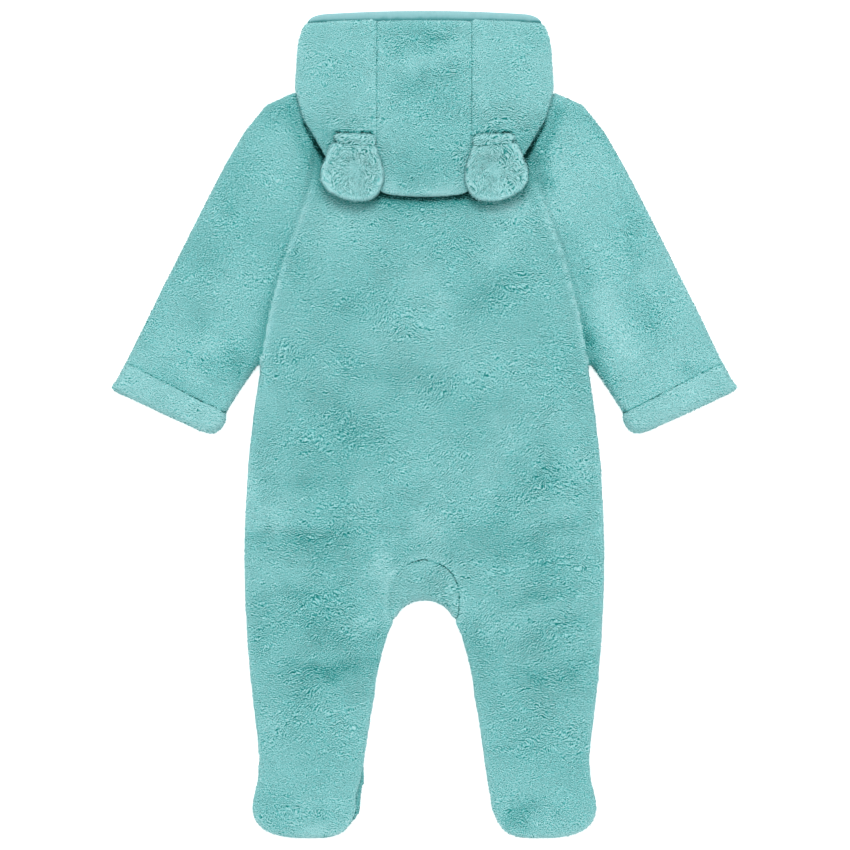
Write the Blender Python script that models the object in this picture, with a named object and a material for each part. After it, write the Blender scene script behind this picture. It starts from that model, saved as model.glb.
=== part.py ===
"""Hooded, footed baby pramsuit in plush fleece, laid flat on its front.

Units in the tables are millimetres. +X is to the right, +Y runs from the feet to the hood,
+Z is up, and the suit rests on z = 0. The wearer's left is at -X.
"""

import math
from collections import namedtuple

import bmesh
import bpy
from mathutils import Matrix, Vector

MM = 0.001

# Cloth: plush pile, its backing and the jersey behind it
CLOTH = 6.0  # thickness of one layer
EDGE_ROUND = 3.0  # radius of a panel's rounded edge
SEAM_GAP = 0.4  # clear space between two pieces that are sewn together
PANEL_GAP = 0.3  # clear space between the fronts and the back
LAYER_GAP = 0.6  # clear space between two layers that lie on each other
EDGE_STEPS = (0.0, 1.0, 3.0)  # rings of points across a rounded edge
BODY_THIRD_STEP = 9.0
BODY_FULL_WIDTH = 30.0  # a narrower section has closer steps
HOOD_FULL_WIDTH = 16.0
BODY_RISE = 3.2  # how far the back lifts from its edge to its middle
BODY_REACH = 38.0  # over what distance it lifts
SLEEVE_RISE = 2.0
SLEEVE_REACH = 26.0
SLEEVE_DIP = 2.4  # how far the sleeve dips towards its seam with the body
SLEEVE_DIP_REACH = 5.0
CUFF_HEIGHT = 16.0
CUFF_RISE = 0.8
CUFF_REACH = 24.0
CUFF_HAND_DIP = 2.2  # how far the cuff rounds down at the hand
CUFF_HAND_REACH = 4.0
CUFF_SLOT_HALF = 1.6  # half the opening for the hand
CUFF_RIM = 1.6  # how far the cuff's folded rim stands out
CUFF_STEPS = (0.0, 2.0, 5.0, 8.4, 20.0)
HOOD_RISE = 4.2
HOOD_REACH = 34.0
HOOD_LAYER = 5.5
HOOD_ROUND = 2.8

# Neck and shoulders
HOOD_STEP_Y = 267.0  # above this line the hood lies on the floor, below it on the suit
HOOD_REST = 16.1  # underside of the hood where it lies on the suit
HOOD_RIM = 20.4  # underside of the hood's top layer at its rim

# Front zip
ZIP_TOP_Y = 246.0
ZIP_END_Y = -74.0
ZIP_SLOT = 5.5  # half width of the slot between the fronts
Bar = namedtuple("Bar", "half_width bottom top")
TAPE = Bar(12.0, CLOTH + 0.3, CLOTH + 1.1)
CHAIN = Bar(2.6, 3.6, CLOTH)
SLIDER = Bar(3.6, 1.9, CHAIN.bottom - 0.3)
PULL = Bar(3.0, 0.4, SLIDER.bottom - 0.3)
SLIDER_LENGTH = 10.0
PULL_LENGTH = 27.0
TAPE_TAIL = 10.0  # tape below the slot's end
CHAIN_STOPS = 3.0  # the chain stops this far above the slot's end
BAR_BEVEL = 0.4

# Torso and legs: half width outside, and inside where the legs part
HIP_HALF_WIDTH = 144.4
HIP_NARROWS = 1.4  # over the rows beside the gusset
BodySection = namedtuple("BodySection", "y outer inner")
BODY = [
    BodySection(264, 66.0, 0),
    BodySection(261, 67.2, 0),
    BodySection(248, 72.4, 0),
    BodySection(234, 80.0, 0),
    BodySection(220, 86.0, 0),
    BodySection(202, 90.0, 0),
    BodySection(184, 93.5, 0),
    BodySection(158, 103.0, 0),
    BodySection(140, 110.0, 0),
    BodySection(122, 116.0, 0),
    BodySection(88, 125.0, 0),
    BodySection(64, 129.0, 0),
    BodySection(51, 130.8, 0),
    BodySection(12, 136.6, 0),
    BodySection(-24, 140.8, 0),
    BodySection(-60, 143.2, 0),
    BodySection(-92, 144.3, 0),
    BodySection(-105, HIP_HALF_WIDTH, 0),
]
UNDERARM = 12  # row of BODY where the sleeve begins

# The gusset's seam is a half round with straight sides, and its fold is the arch between the legs
GUSSET_RADIUS = 27.0
GUSSET_CENTRE_Y = -136.0
GUSSET_TURN = 5  # rows round the half circle
GUSSET_FULL_WIDTH = 16.0  # a narrower section is scaled down
FOLD_STEPS = (0.9, 3.0, 6.2)  # rings of points in from the fold
SLOT_HALF = 0.5  # half the space inside folded cloth
ARCH_RADIUS = 27.0
ARCH_CENTRE_Y = -168.0
ARCH_TURN = math.radians(60)  # how far round the arch the gusset reaches each way
SEAM_END = ((26.9, -143.0), (26.7, -149.4), (26.2, -154.4))  # the seam's last places

LEGS = [
    BodySection(-166, 142.6, 28.4),
    BodySection(-182, 141.4, 33.2),
    BodySection(-206, 139.2, 38.8),
    BodySection(-232, 136.4, 43.9),
    BodySection(-252, 133.8, 47.0),
    BodySection(-268, 132.4, 49.2),
    BodySection(-284, 133.5, 51.2),
    BodySection(-297, 136.8, 52.2),
    BodySection(-307, 138.4, 53.4),
    BodySection(-316, 136.4, 57.2),
    BodySection(-323, 129.4, 62.4),
    BodySection(-327, 119.5, 69.0),
    BodySection(-329.2, 109.0, 77.0),
    BodySection(-330, 100.0, 84.0),
]
FRONT_SHOWS = 4.0  # how far the left foot's front stands out inside its back
FRONT_SHOWS_FROM_Y = -240.0
FRONT_SHOWS_REACH = 30.0

# Sleeve: outer fold from the cuff up over the shoulder
Place = namedtuple("Place", "x y")
SHOULDER = [
    Place(239.2, 49.4),
    Place(202.0, 125.0),
    Place(163.0, 202.0),
    Place(152.0, 221.0),
    Place(142.0, 238.0),
    Place(134.0, 249.5),
    Place(123.5, 259.0),
    Place(113.0, 264.0),
    Place(104.0, 265.8),
    Place(86.0, 265.9),
]
SLEEVE_INNER_HAND = Place(158.0, 12.0)
SLEEVE_ROWS = (0.0, 0.08, 0.2, 0.34, 0.48, 0.6, 0.7, 0.79, 0.87, 0.94, 0.98, 1.0)
TUBE_STEPS = (0.0, 1.6, 4.2, 6.8)

# Cuff: seen flat, from its seam to the hand, with a rounded inner corner
CuffRow = namedtuple("CuffRow", "inner_x inner_y outer_x outer_y")
CUFF = [
    CuffRow(157.0, 10.8, 239.9, 48.8),
    CuffRow(157.8, 4.8, 242.8, 43.0),
    CuffRow(161.0, -1.6, 245.8, 37.2),
    CuffRow(165.4, -6.0, 248.4, 32.0),
    CuffRow(170.4, -8.2, 250.0, 28.8),
]

# Hood: half width of the fleece that shows
HoodSection = namedtuple("HoodSection", "y half_width")
BELOW_STEP = HoodSection(266.6, 103.5)  # a row for the folded layers only
HOOD = [
    HoodSection(325.0, 88.0),
    HoodSection(322.0, 93.6),
    HoodSection(318.0, 97.8),
    HoodSection(311.0, 100.6),
    HoodSection(301.0, 101.8),
    HoodSection(285.0, 102.8),
    HoodSection(267.4, 103.6),
    BELOW_STEP,
    HoodSection(257.0, 100.6),
    HoodSection(247.0, 96.4),
    HoodSection(237.0, 91.8),
    HoodSection(226.0, 86.2),
    HoodSection(215.0, 80.0),
    HoodSection(205.5, 70.0),
    HoodSection(198.0, 60.0),
    HoodSection(193.0, 50.0),
    HoodSection(189.6, 40.0),
    HoodSection(186.5, 30.0),
    HoodSection(183.6, 18.0),
    HoodSection(182.2, 7.0),
]
HOOD_SEAM_X = 37.8
HOOD_TOP_SAG = 4.0  # how far the opening edge drops from its middle to its corners
HOOD_BOW_FROM_Y = 285.0
HOOD_INSET = 3.0  # the folded layers stand back from the top layer's edge
FOLDS_TOP = HoodSection(321.4, 86.0)
FOLDS_ROUND = 1.0  # how far the folded layers' rim is rounded off
FOLDS_LAYERS = ((0.75, 2.0), (0.5, 0.5), (0.25, 2.0))  # share of the height, and how far it stands out
FOLDS_MIDDLE = Vector((0.0, 250.0, 0.0)) * MM

# Jersey edge of the hood's opening
EDGE_HALF_LENGTH = 91.0
EDGE_SAG = 5.0
Span = namedtuple("Span", "low high")
EDGE_Y = Span(323.2, 330.0)
EDGE_Z = Span(3.0, 15.0)
EDGE_STATIONS = 10
EDGE_SLIMMEST = 0.3  # size of its ends, as a share of its middle

# Rolls: the jersey edge and the ears' bases
Station = namedtuple("Station", "x y z half_width half_height")
ROLL_TURNS = 10
ROLL_TAPER = 0.12  # share of the length over which an end tapers

# Ear, hanging from its rolled base
EarSection = namedtuple("EarSection", "y inner outer")
EAR = [
    EarSection(226.0, 39.5, 73.0),
    EarSection(224.6, 37.8, 74.4),
    EarSection(220.5, 36.4, 76.0),
    EarSection(213.0, 34.2, 79.0),
    EarSection(204.0, 32.6, 82.2),
    EarSection(195.0, 32.5, 81.6),
    EarSection(188.0, 35.4, 76.4),
    EarSection(183.0, 39.4, 68.0),
    EarSection(180.4, 43.6, 61.6),
    EarSection(179.4, 48.0, 56.0),
]
EAR_THICKNESS = 8.0
EAR_DISH = 1.6
EAR_DISH_FROM = 4.0  # the dish begins this far in from the edge
EAR_DISH_REACH = 12.0
EAR_STEPS = (0.0, 1.2, 4.0)
EAR_FULL_WIDTH = 14.0  # a narrower section has closer steps
EarBase = namedtuple("EarBase", "inner outer low slope width height")
EAR_BASE = EarBase(38.0, 73.6, 226.6, 0.05, 6.6, 6.8)
EAR_BASE_STATIONS = (0.0, 0.04, 0.14, 0.38, 0.62, 0.86, 0.96, 1.0)
EAR_BASE_SLIMMEST = 0.35

# Colours of the cloth, in linear light
AQUA = (0.190, 0.505, 0.510)
PALE_AQUA = (0.215, 0.545, 0.550)
JERSEY = (0.300, 0.571, 0.597)
ZIP_AQUA = (0.150, 0.420, 0.430)
NICKEL = (0.62, 0.63, 0.64)


def clear_scene():
    for obj in list(bpy.data.objects):
        bpy.data.objects.remove(obj, do_unlink=True)


def material(name, colour, roughness, metallic=0.0):
    made = bpy.data.materials.new(name)
    made.use_nodes = True
    shader = made.node_tree.nodes["Principled BSDF"]
    shader.inputs["Base Color"].default_value = (*colour, 1.0)
    shader.inputs["Roughness"].default_value = roughness
    shader.inputs["Metallic"].default_value = metallic
    made.diffuse_color = (*colour, 1.0)
    return made


def rounding(distance, radius):
    """Share of the full height at this distance from a rounded edge."""
    near = min(distance, radius) / radius
    return math.sqrt(max(0.0, 1 - (1 - near) ** 2))


def lift(distance, reach):
    """Soft rise from 0 at the edge to 1 at the reach."""
    share = min(distance / reach, 1.0)
    return share * share * (3 - 2 * share)


def distance_to_line(x, y, line):
    """Shortest distance from a point to an open line of points."""
    best = math.inf
    for (ax, ay), (bx, by) in zip(line, line[1:]):
        dx, dy = bx - ax, by - ay
        length = math.hypot(dx, dy) or 1.0
        along = ((x - ax) * dx + (y - ay) * dy) / length**2
        along = min(max(along, 0.0), 1.0)
        best = min(best, math.hypot(x - ax - along * dx, y - ay - along * dy))
    return best


def point_along(line, share):
    """Point at this share of a line's length."""
    steps = [math.dist(a, b) for a, b in zip(line, line[1:])]
    left = share * sum(steps)
    for (ax, ay), (bx, by), step in zip(line, line[1:], steps):
        if left <= step:
            part = left / step
            return ax + (bx - ax) * part, ay + (by - ay) * part
        left -= step
    return line[-1]


def across(width, steps, middles):
    """Distances across a width: the edge steps at both ends and even ones between them."""
    last = steps[-1]
    inside = [last + (width - 2 * last) * k / (middles + 1) for k in range(1, middles + 1)]
    return [*steps, *inside, *[width - step for step in reversed(steps)]]


def add_point(bm, x, y, z):
    return bm.verts.new((x * MM, y * MM, z * MM))


def add_face(bm, corners):
    """A face of the corners that differ, if three or more do."""
    kept = [c for k, c in enumerate(corners) if c is not corners[k - 1]]
    if len(kept) > 2:
        bm.faces.new(kept)


def finish(bm, name, finish_material, mirrored=False):
    """Make the object, turned to the other side if mirrored, with its faces pointing out."""
    if mirrored:
        bmesh.ops.scale(bm, vec=(-1, 1, 1), verts=bm.verts)
    bmesh.ops.recalc_face_normals(bm, faces=bm.faces)
    if bm.calc_volume(signed=True) < 0:
        bmesh.ops.reverse_faces(bm, faces=bm.faces)
    mesh = bpy.data.meshes.new(name)
    bm.to_mesh(mesh)
    bm.free()
    mesh.shade_smooth()
    mesh.set_sharp_from_angle(angle=math.radians(50))
    mesh.materials.append(finish_material)
    obj = bpy.data.objects.new(name, mesh)
    bpy.context.scene.collection.objects.link(obj)
    return obj


def sheet_mesh(rows, top, bottom, open_rows=0):
    """Closed wall of cloth over a grid of places: top and bottom meet at the grid's border.

    On the first open_rows rows the first column is the fold line of a mirrored half, not a border.
    """
    bm = bmesh.new()
    last_row, last_column = len(rows) - 1, len(rows[0]) - 1
    upper, lower = [], []
    for i, row in enumerate(rows):
        upper.append([])
        lower.append([])
        for j, (x, y) in enumerate(row):
            inner_border = j == 0 and not 0 < i < open_rows
            border = i in (0, last_row) or j == last_column or inner_border
            point = add_point(bm, x, y, top(x, y))
            upper[i].append(point)
            lower[i].append(point if border else add_point(bm, x, y, bottom(x, y)))
    for side in (upper, lower):
        for i in range(last_row):
            for j in range(last_column):
                add_face(bm, [side[i][j], side[i][j + 1], side[i + 1][j + 1], side[i + 1][j]])
    return bm


def tube_mesh(rows, top, bottom, slot_top, slot_bottom, slot_column, round_end=0.0):
    """Flattened tube of cloth, open at its first and last rows, with a thin slot inside.

    The slot begins and ends slot_column columns in. round_end pushes out the last row's rim.
    """
    bm = bmesh.new()
    last_row, last_column = len(rows) - 1, len(rows[0]) - 1
    slot = range(slot_column, last_column - slot_column + 1)
    upper, lower, slot_upper, slot_lower = [], [], [], []
    for row in rows:
        over = [add_point(bm, x, y, top(x, y)) for x, y in row]
        under = [add_point(bm, x, y, bottom(x, y)) for x, y in row[1:-1]]
        upper.append(over)
        lower.append([over[0], *under, over[-1]])
        inside = [row[j] for j in slot]
        over = [add_point(bm, x, y, slot_top(x, y)) for x, y in inside]
        under = [add_point(bm, x, y, slot_bottom(x, y)) for x, y in inside[1:-1]]
        slot_upper.append(over)
        slot_lower.append([over[0], *under, over[-1]])
    for side in (upper, lower, slot_upper, slot_lower):
        for i in range(last_row):
            for j in range(len(side[0]) - 1):
                add_face(bm, [side[i][j], side[i][j + 1], side[i + 1][j + 1], side[i + 1][j]])
    for i in (0, last_row):
        rim = rim_points(bm, rows, round_end) if i and round_end else None
        for skin, lining in ((upper, slot_upper), (lower, slot_lower)):
            ring = [skin[i][j] for j in slot]
            for j in range(len(ring) - 1):
                a, b = lining[i][j], lining[i][j + 1]
                if not rim:
                    add_face(bm, [ring[j], ring[j + 1], b, a])
                    continue
                c, d = rim(ring[j], a), rim(ring[j + 1], b)
                add_face(bm, [ring[j], ring[j + 1], d, c])
                add_face(bm, [c, d, b, a])
        for side_columns in (range(slot_column + 1), range(last_column - slot_column, last_column + 1)):
            loop = [upper[i][j] for j in side_columns]
            back = [lower[i][j] for j in side_columns if lower[i][j] is not upper[i][j]]
            centre = slot_upper[i][0] if side_columns[0] == 0 else slot_upper[i][-1]
            if side_columns[0] == 0:
                around = [*reversed(loop), *back]
            else:
                around = [*loop, *reversed(back)]
            rims = {}
            if rim:
                rims = {0: rim(around[0], centre), len(around) - 1: rim(around[-1], centre)}
            for k in range(len(around) - 1):
                corners = [around[k], around[k + 1]]
                if k + 1 in rims:
                    corners.append(rims[k + 1])
                corners.append(centre)
                if k in rims:
                    corners.append(rims[k])
                add_face(bm, corners)
    return bm


def rim_points(bm, rows, push):
    """Maker of the points of a rounded rim, pushed out past the last row. Each pair makes one point."""
    made = {}
    before, last = Vector(rows[-2][len(rows[0]) // 2]), Vector(rows[-1][len(rows[0]) // 2])
    out = (last - before).normalized() * push * MM

    def rim(outside, inside):
        key = (outside, inside)
        if key not in made:
            middle = (outside.co + inside.co) / 2
            made[key] = bm.verts.new((middle.x + out.x, middle.y + out.y, middle.z))
        return made[key]

    return rim


def gusset_seam():
    """Right half of the gusset's seam, from its top down to its tip."""
    places = []
    for k in range(GUSSET_TURN + 1):
        angle = math.pi / 2 * k / GUSSET_TURN
        places.append(
            (GUSSET_RADIUS * math.sin(angle), GUSSET_CENTRE_Y + GUSSET_RADIUS * math.cos(angle))
        )
    return [*places, *SEAM_END]


def body_rows():
    """Sections of the body's right half, from neck to toe."""
    seam = gusset_seam()
    rows = list(BODY)
    for k, (x, y) in enumerate(seam):
        outer = HIP_HALF_WIDTH - HIP_NARROWS * (k / (len(seam) - 1)) ** 2
        rows.append(BodySection(y + (SEAM_GAP if k == 0 else 0), outer, x + (SEAM_GAP if k else 0)))
    return rows + LEGS


def body_columns(section):
    """Places across one section, closer together at its edges."""
    width = section.outer - section.inner
    tight = min(1.0, width / BODY_FULL_WIDTH)
    steps = [step * tight for step in (*EDGE_STEPS, BODY_THIRD_STEP)]
    return [(section.inner + step, section.y) for step in across(width, steps, 3)]


def half_border(rows, first_inner):
    """Border of a half panel: neck, outside, toe and inside, up to its first inner row."""
    outside = [row[-1] for row in rows]
    inside = [row[0] for row in rows[first_inner:]]
    return [rows[0][0], *outside, *reversed(inside)]


def body_top(x, y, border):
    """Height of the suit's upper surface, as far in from the border as this place lies."""
    distance = distance_to_line(abs(x), y, border)
    edge = 1.5 * CLOTH + PANEL_GAP
    return edge + CLOTH / 2 * rounding(distance, EDGE_ROUND) + BODY_RISE * lift(distance, BODY_REACH)


def build_back(fabric):
    rows = [body_columns(section) for section in body_rows()]
    first_inner = len(BODY)
    border = half_border(rows, first_inner)

    def bottom(x, y):
        distance = distance_to_line(x, y, border)
        under = CLOTH / 2 * (1 - rounding(distance, EDGE_ROUND))
        return CLOTH + PANEL_GAP + under + BODY_RISE * lift(distance, BODY_REACH)

    bm = sheet_mesh(rows, lambda x, y: body_top(x, y, border), bottom, open_rows=first_inner)
    whole = bm.verts[:] + bm.edges[:] + bm.faces[:]
    bmesh.ops.mirror(bm, geom=whole, matrix=Matrix(), axis="X", merge_dist=1e-6)
    return finish(bm, "back_panel", fabric)


def build_front(side, fabric):
    """Front panel. It is flat below, and the zip's slot and the front seam are its inner edge."""
    rows = []
    sections = body_rows()
    for section in sections:
        if section.inner == 0:
            inner = ZIP_SLOT if section.y > ZIP_END_Y else SEAM_GAP / 2
        else:
            inner = section.inner
            if side == "left" and section.y < FRONT_SHOWS_FROM_Y:
                inner -= FRONT_SHOWS * lift(FRONT_SHOWS_FROM_Y - section.y, FRONT_SHOWS_REACH)
        rows.append(body_columns(section._replace(inner=inner)))
    border = half_border(rows, 0)
    border.append(border[0])

    def top(x, y):
        return CLOTH / 2 * (1 + rounding(distance_to_line(x, y, border), EDGE_ROUND))

    def bottom(x, y):
        return CLOTH / 2 * (1 - rounding(distance_to_line(x, y, border), EDGE_ROUND))

    return finish(sheet_mesh(rows, top, bottom), "front_" + side, fabric, side == "left")


def raglan_line(gap):
    """The seam between body and sleeve, from the underarm to the neck."""
    return [(section.outer + gap, section.y) for section in reversed(BODY[: UNDERARM + 1])]


def sleeve_rows():
    """Grid of the flattened sleeve between its cuff line, its seam and its two folds.

    At the seam its columns pass through the body's own sections, so the two edges run side by side.
    """
    seam = raglan_line(SEAM_GAP)
    outer = [tuple(place) for place in SHOULDER] + [seam[-1]]
    inner = [tuple(SLEEVE_INNER_HAND), seam[0]]
    hand = [inner[0], outer[0]]
    seam_length = sum(math.dist(a, b) for a, b in zip(seam, seam[1:]))
    shares, gone = [], 0.0
    for a, b in zip(seam, seam[1:]):
        gone += math.dist(a, b)
        if TUBE_STEPS[-1] < gone < seam_length - TUBE_STEPS[-1]:
            shares.append(gone / seam_length)
    hand_length = math.dist(*hand)
    hand_shares = [step / hand_length for step in across(hand_length, TUBE_STEPS, len(shares))]
    edge_shares = [step / seam_length for step in TUBE_STEPS]
    seam_shares = [*edge_shares, *shares, *[1 - share for share in reversed(edge_shares)]]
    low, high = Vector(hand[0]), Vector(hand[1])
    rows = []
    for along in SLEEVE_ROWS:
        start, end = Vector(point_along(inner, along)), Vector(point_along(outer, along))
        row = []
        for hand_share, seam_share in zip(hand_shares, seam_shares):
            share = hand_share + (seam_share - hand_share) * along
            place = start.lerp(end, share)
            place += (1 - along) * Vector(point_along(hand, share))
            place += along * Vector(point_along(seam, share))
            place -= low.lerp(high, share).lerp(Vector(seam[0]).lerp(Vector(seam[-1]), share), along)
            row.append(tuple(place))
        rows.append(row)
    return rows


def build_sleeve(side, fabric):
    rows = sleeve_rows()
    inner_fold = [row[0] for row in rows]
    outer_fold = [row[-1] for row in rows]
    seam = rows[-1]
    half = CLOTH + SLOT_HALF

    def folds(x, y):
        return min(distance_to_line(x, y, inner_fold), distance_to_line(x, y, outer_fold))

    def top(x, y):
        dip = SLEEVE_DIP * (1 - rounding(distance_to_line(x, y, seam), SLEEVE_DIP_REACH))
        distance = folds(x, y)
        raised = SLEEVE_RISE * lift(distance, SLEEVE_REACH)
        full = half * rounding(distance, half)
        return half + full + raised - dip * min(1.0, distance / half)

    def bottom(x, y):
        return half * (1 - rounding(folds(x, y), half))

    def slot_top(x, y):
        return half + SLOT_HALF + (SLEEVE_RISE - PANEL_GAP) * lift(folds(x, y), SLEEVE_REACH)

    def slot_bottom(x, y):
        return half - SLOT_HALF

    bm = tube_mesh(rows, top, bottom, slot_top, slot_bottom, len(TUBE_STEPS) - 1)
    return finish(bm, "sleeve_" + side, fabric, side == "left")


def build_cuff(side, fabric):
    half = CUFF_HEIGHT / 2
    rows = []
    for row in CUFF:
        start = Vector((row.inner_x, row.inner_y))
        end = Vector((row.outer_x, row.outer_y))
        width = (end - start).length
        steps = across(width, CUFF_STEPS, 2)
        rows.append([tuple(start.lerp(end, step / width)) for step in steps])
    inner_fold = [row[0] for row in rows]
    outer_fold = [row[-1] for row in rows]
    hand = rows[-1]

    def folds(x, y):
        return min(distance_to_line(x, y, inner_fold), distance_to_line(x, y, outer_fold))

    def round_hand(x, y):
        return CUFF_HAND_DIP * (1 - rounding(distance_to_line(x, y, hand), CUFF_HAND_REACH))

    def top(x, y):
        distance = folds(x, y)
        full = (half - round_hand(x, y)) * rounding(distance, half)
        return half + full + CUFF_RISE * lift(distance, CUFF_REACH)

    def bottom(x, y):
        return half - half * rounding(folds(x, y), half)

    def slot_top(x, y):
        return half + CUFF_SLOT_HALF

    def slot_bottom(x, y):
        return half - CUFF_SLOT_HALF

    bm = tube_mesh(rows, top, bottom, slot_top, slot_bottom, 3, round_end=CUFF_RIM)
    return finish(bm, "cuff_" + side, fabric, side == "left")


def gusset_section(bm, seam_place, fold_place):
    """One section of the gusset: a U on its side, open at the seam and closed at the fold."""
    start, fold = Vector(seam_place), Vector(fold_place)
    width = (start - fold).length
    scale = min(1.0, width / GUSSET_FULL_WIDTH)
    half = CLOTH + PANEL_GAP

    def point(distance, height):
        place = fold.lerp(start, distance / width)
        return add_point(bm, place.x, place.y, half + height)

    steps = [(width, 0.92 * half), (width - 2.0 * scale, half)]
    steps += [(step * scale, half * rounding(step, FOLD_STEPS[-1])) for step in reversed(FOLD_STEPS)]
    upper = [point(distance, height) for distance, height in steps]
    lower = [point(distance, -height) for distance, height in reversed(steps)]
    mouth = width - 0.4 * scale
    slot = [point(mouth, -SLOT_HALF), point(CLOTH * scale, 0), point(mouth, SLOT_HALF)]
    return [*upper, point(0, 0), *lower, *slot]


def build_gusset(fabric):
    """Half-round patch at the back, folded round the arch between the legs to the front."""
    half_seam = gusset_seam()
    seam = [(-x, y) for x, y in reversed(half_seam[1:])] + half_seam
    last = len(seam) - 1
    bm = bmesh.new()
    sections = []
    for k, place in enumerate(seam):
        angle = ARCH_TURN * (2 * k / last - 1)
        fold = (ARCH_RADIUS * math.sin(angle), ARCH_CENTRE_Y + ARCH_RADIUS * math.cos(angle))
        sections.append(gusset_section(bm, place, fold))
    for a, b in zip(sections, sections[1:]):
        for k in range(len(a)):
            add_face(bm, [a[k - 1], a[k], b[k], b[k - 1]])
    for *skin, slot_end, mouth in (sections[0], sections[-1]):
        around = [mouth, *skin]
        for a, b in zip(around, around[1:]):
            add_face(bm, [slot_end, a, b])
    return finish(bm, "crotch_gusset", fabric)


def closed_border(rows):
    """The places round a grid, back to the first."""
    border = [*rows[0], *[row[-1] for row in rows]]
    border += [*reversed(rows[-1]), *[row[0] for row in reversed(rows)]]
    border = [place for k, place in enumerate(border) if place != border[k - 1]]
    return [*border, border[0]]


def hood_place(x, y):
    """The hood's upper part bows: its opening edge drops towards its corners."""
    share = lift(max(0.0, y - HOOD_BOW_FROM_Y), HOOD[0].y - HOOD_BOW_FROM_Y)
    return x, y - HOOD_TOP_SAG * (x / HOOD[0].half_width) ** 2 * share


def hood_distance(x, y):
    """How far in from the hood's outline a place lies."""
    outline = [hood_place(0, HOOD[0].y)]
    outline += [hood_place(section.half_width, section.y) for section in HOOD]
    outline.append((0, HOOD[-1].y))
    return distance_to_line(abs(x), y, outline)


def hood_under(x, y):
    """Underside of the hood's top layer."""
    return HOOD_RIM + HOOD_RISE * lift(hood_distance(x, y), HOOD_REACH)


def build_hood_panel(name, sections, low, high, fabric):
    """One of the three panels of the hood's top layer. low and high give its edges at a section."""
    rows = []
    for section in sections:
        left, right = low(section), high(section)
        width = right - left
        tight = min(1.0, width / HOOD_FULL_WIDTH)
        steps = across(width, [step * tight for step in EDGE_STEPS], 2)
        rows.append([hood_place(left + step, section.y) for step in steps])
    border = closed_border(rows)
    half = HOOD_LAYER / 2

    def side_of(sign):
        def height(x, y):
            full = sign * half * rounding(distance_to_line(x, y, border), HOOD_ROUND)
            return hood_under(x, y) + LAYER_GAP + half + full

        return height

    return finish(sheet_mesh(rows, side_of(1), side_of(-1)), name, fabric)


def build_hood(fabric):
    sections = [section for section in HOOD if section is not BELOW_STEP]
    inner = HOOD_SEAM_X + SEAM_GAP / 2
    sides = [section for section in sections if section.half_width > HOOD_SEAM_X + 1]

    def centre_edge(section):
        return min(HOOD_SEAM_X, section.half_width) - SEAM_GAP / 2

    def outer_edge(section):
        return section.half_width

    centre = [sections[0], *sections[2:]]
    build_hood_panel("hood_centre", centre, lambda row: -centre_edge(row), centre_edge, fabric)
    build_hood_panel("hood_side_right", sides, lambda row: inner, outer_edge, fabric)
    build_hood_panel("hood_side_left", sides, lambda row: -outer_edge(row), lambda row: -inner, fabric)


def build_hood_folds(fabric):
    """The hood's hidden layers: on the floor above the neck, on the suit below it, ridged at the edge."""
    sections = [FOLDS_TOP, *HOOD[2:-1]]
    rows = []
    for section in sections:
        half_width = section.half_width - HOOD_INSET
        steps = across(2 * half_width, EDGE_STEPS[::2], 4)
        rows.append([hood_place(step - half_width, section.y) for step in steps])
    border = [*[row[-1] for row in rows], *[row[0] for row in reversed(rows)]]
    border.append(border[0])

    def edge(x, y):
        return rounding(distance_to_line(x, y, border), EDGE_ROUND)

    def top(x, y):
        return hood_under(x, y) - FOLDS_ROUND * (1 - edge(x, y))

    def bottom(x, y):
        floor = 0.0 if y > HOOD_STEP_Y else HOOD_REST
        return floor + FOLDS_ROUND * (1 - edge(x, y))

    bm = ridged_mesh(rows, top, bottom)
    return finish(bm, "hood_folded_layers", fabric)


def ridged_mesh(rows, top, bottom):
    """Closed block over a grid of places, with a groove between the layers all round its side."""
    bm = bmesh.new()
    last_row, last_column = len(rows) - 1, len(rows[0]) - 1
    upper = [[add_point(bm, x, y, top(x, y)) for x, y in row] for row in rows]
    lower = [[add_point(bm, x, y, bottom(x, y)) for x, y in row] for row in rows]
    for side in (upper, lower):
        for i in range(last_row):
            for j in range(last_column):
                add_face(bm, [side[i][j], side[i][j + 1], side[i + 1][j + 1], side[i + 1][j]])
    ring = [(0, j) for j in range(last_column)]
    ring += [(i, last_column) for i in range(last_row)]
    ring += [(last_row, j) for j in range(last_column, 0, -1)]
    ring += [(i, 0) for i in range(last_row, 0, -1)]
    levels = [[upper[i][j] for i, j in ring]]
    for share, push in FOLDS_LAYERS:
        level = []
        for i, j in ring:
            high, low = upper[i][j].co, lower[i][j].co
            out = Vector((high.x - FOLDS_MIDDLE.x, high.y - FOLDS_MIDDLE.y, 0)).normalized() * push * MM
            level.append(bm.verts.new(low.lerp(high, share) + out))
        levels.append(level)
    levels.append([lower[i][j] for i, j in ring])
    for a, b in zip(levels, levels[1:]):
        for k in range(len(ring)):
            add_face(bm, [a[k - 1], a[k], b[k], b[k - 1]])
    return bm


def build_roll(name, stations, fabric, mirrored=False):
    """Roll of cloth across X, through stations of place, height, half width and half height."""
    bm = bmesh.new()
    loops = []
    for station in stations:
        loop = []
        for turn in range(ROLL_TURNS):
            angle = 2 * math.pi * turn / ROLL_TURNS
            y = station.y + station.half_width * math.cos(angle)
            loop.append(add_point(bm, station.x, y, station.z + station.half_height * math.sin(angle)))
        loops.append(loop)
    for a, b in zip(loops, loops[1:]):
        for k in range(ROLL_TURNS):
            add_face(bm, [a[k - 1], a[k], b[k], b[k - 1]])
    for end in (loops[0], loops[-1]):
        bm.faces.new(end)
    bmesh.ops.triangulate(bm, faces=[face for face in bm.faces if len(face.verts) > 4])
    return finish(bm, name, fabric, mirrored)


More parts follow.
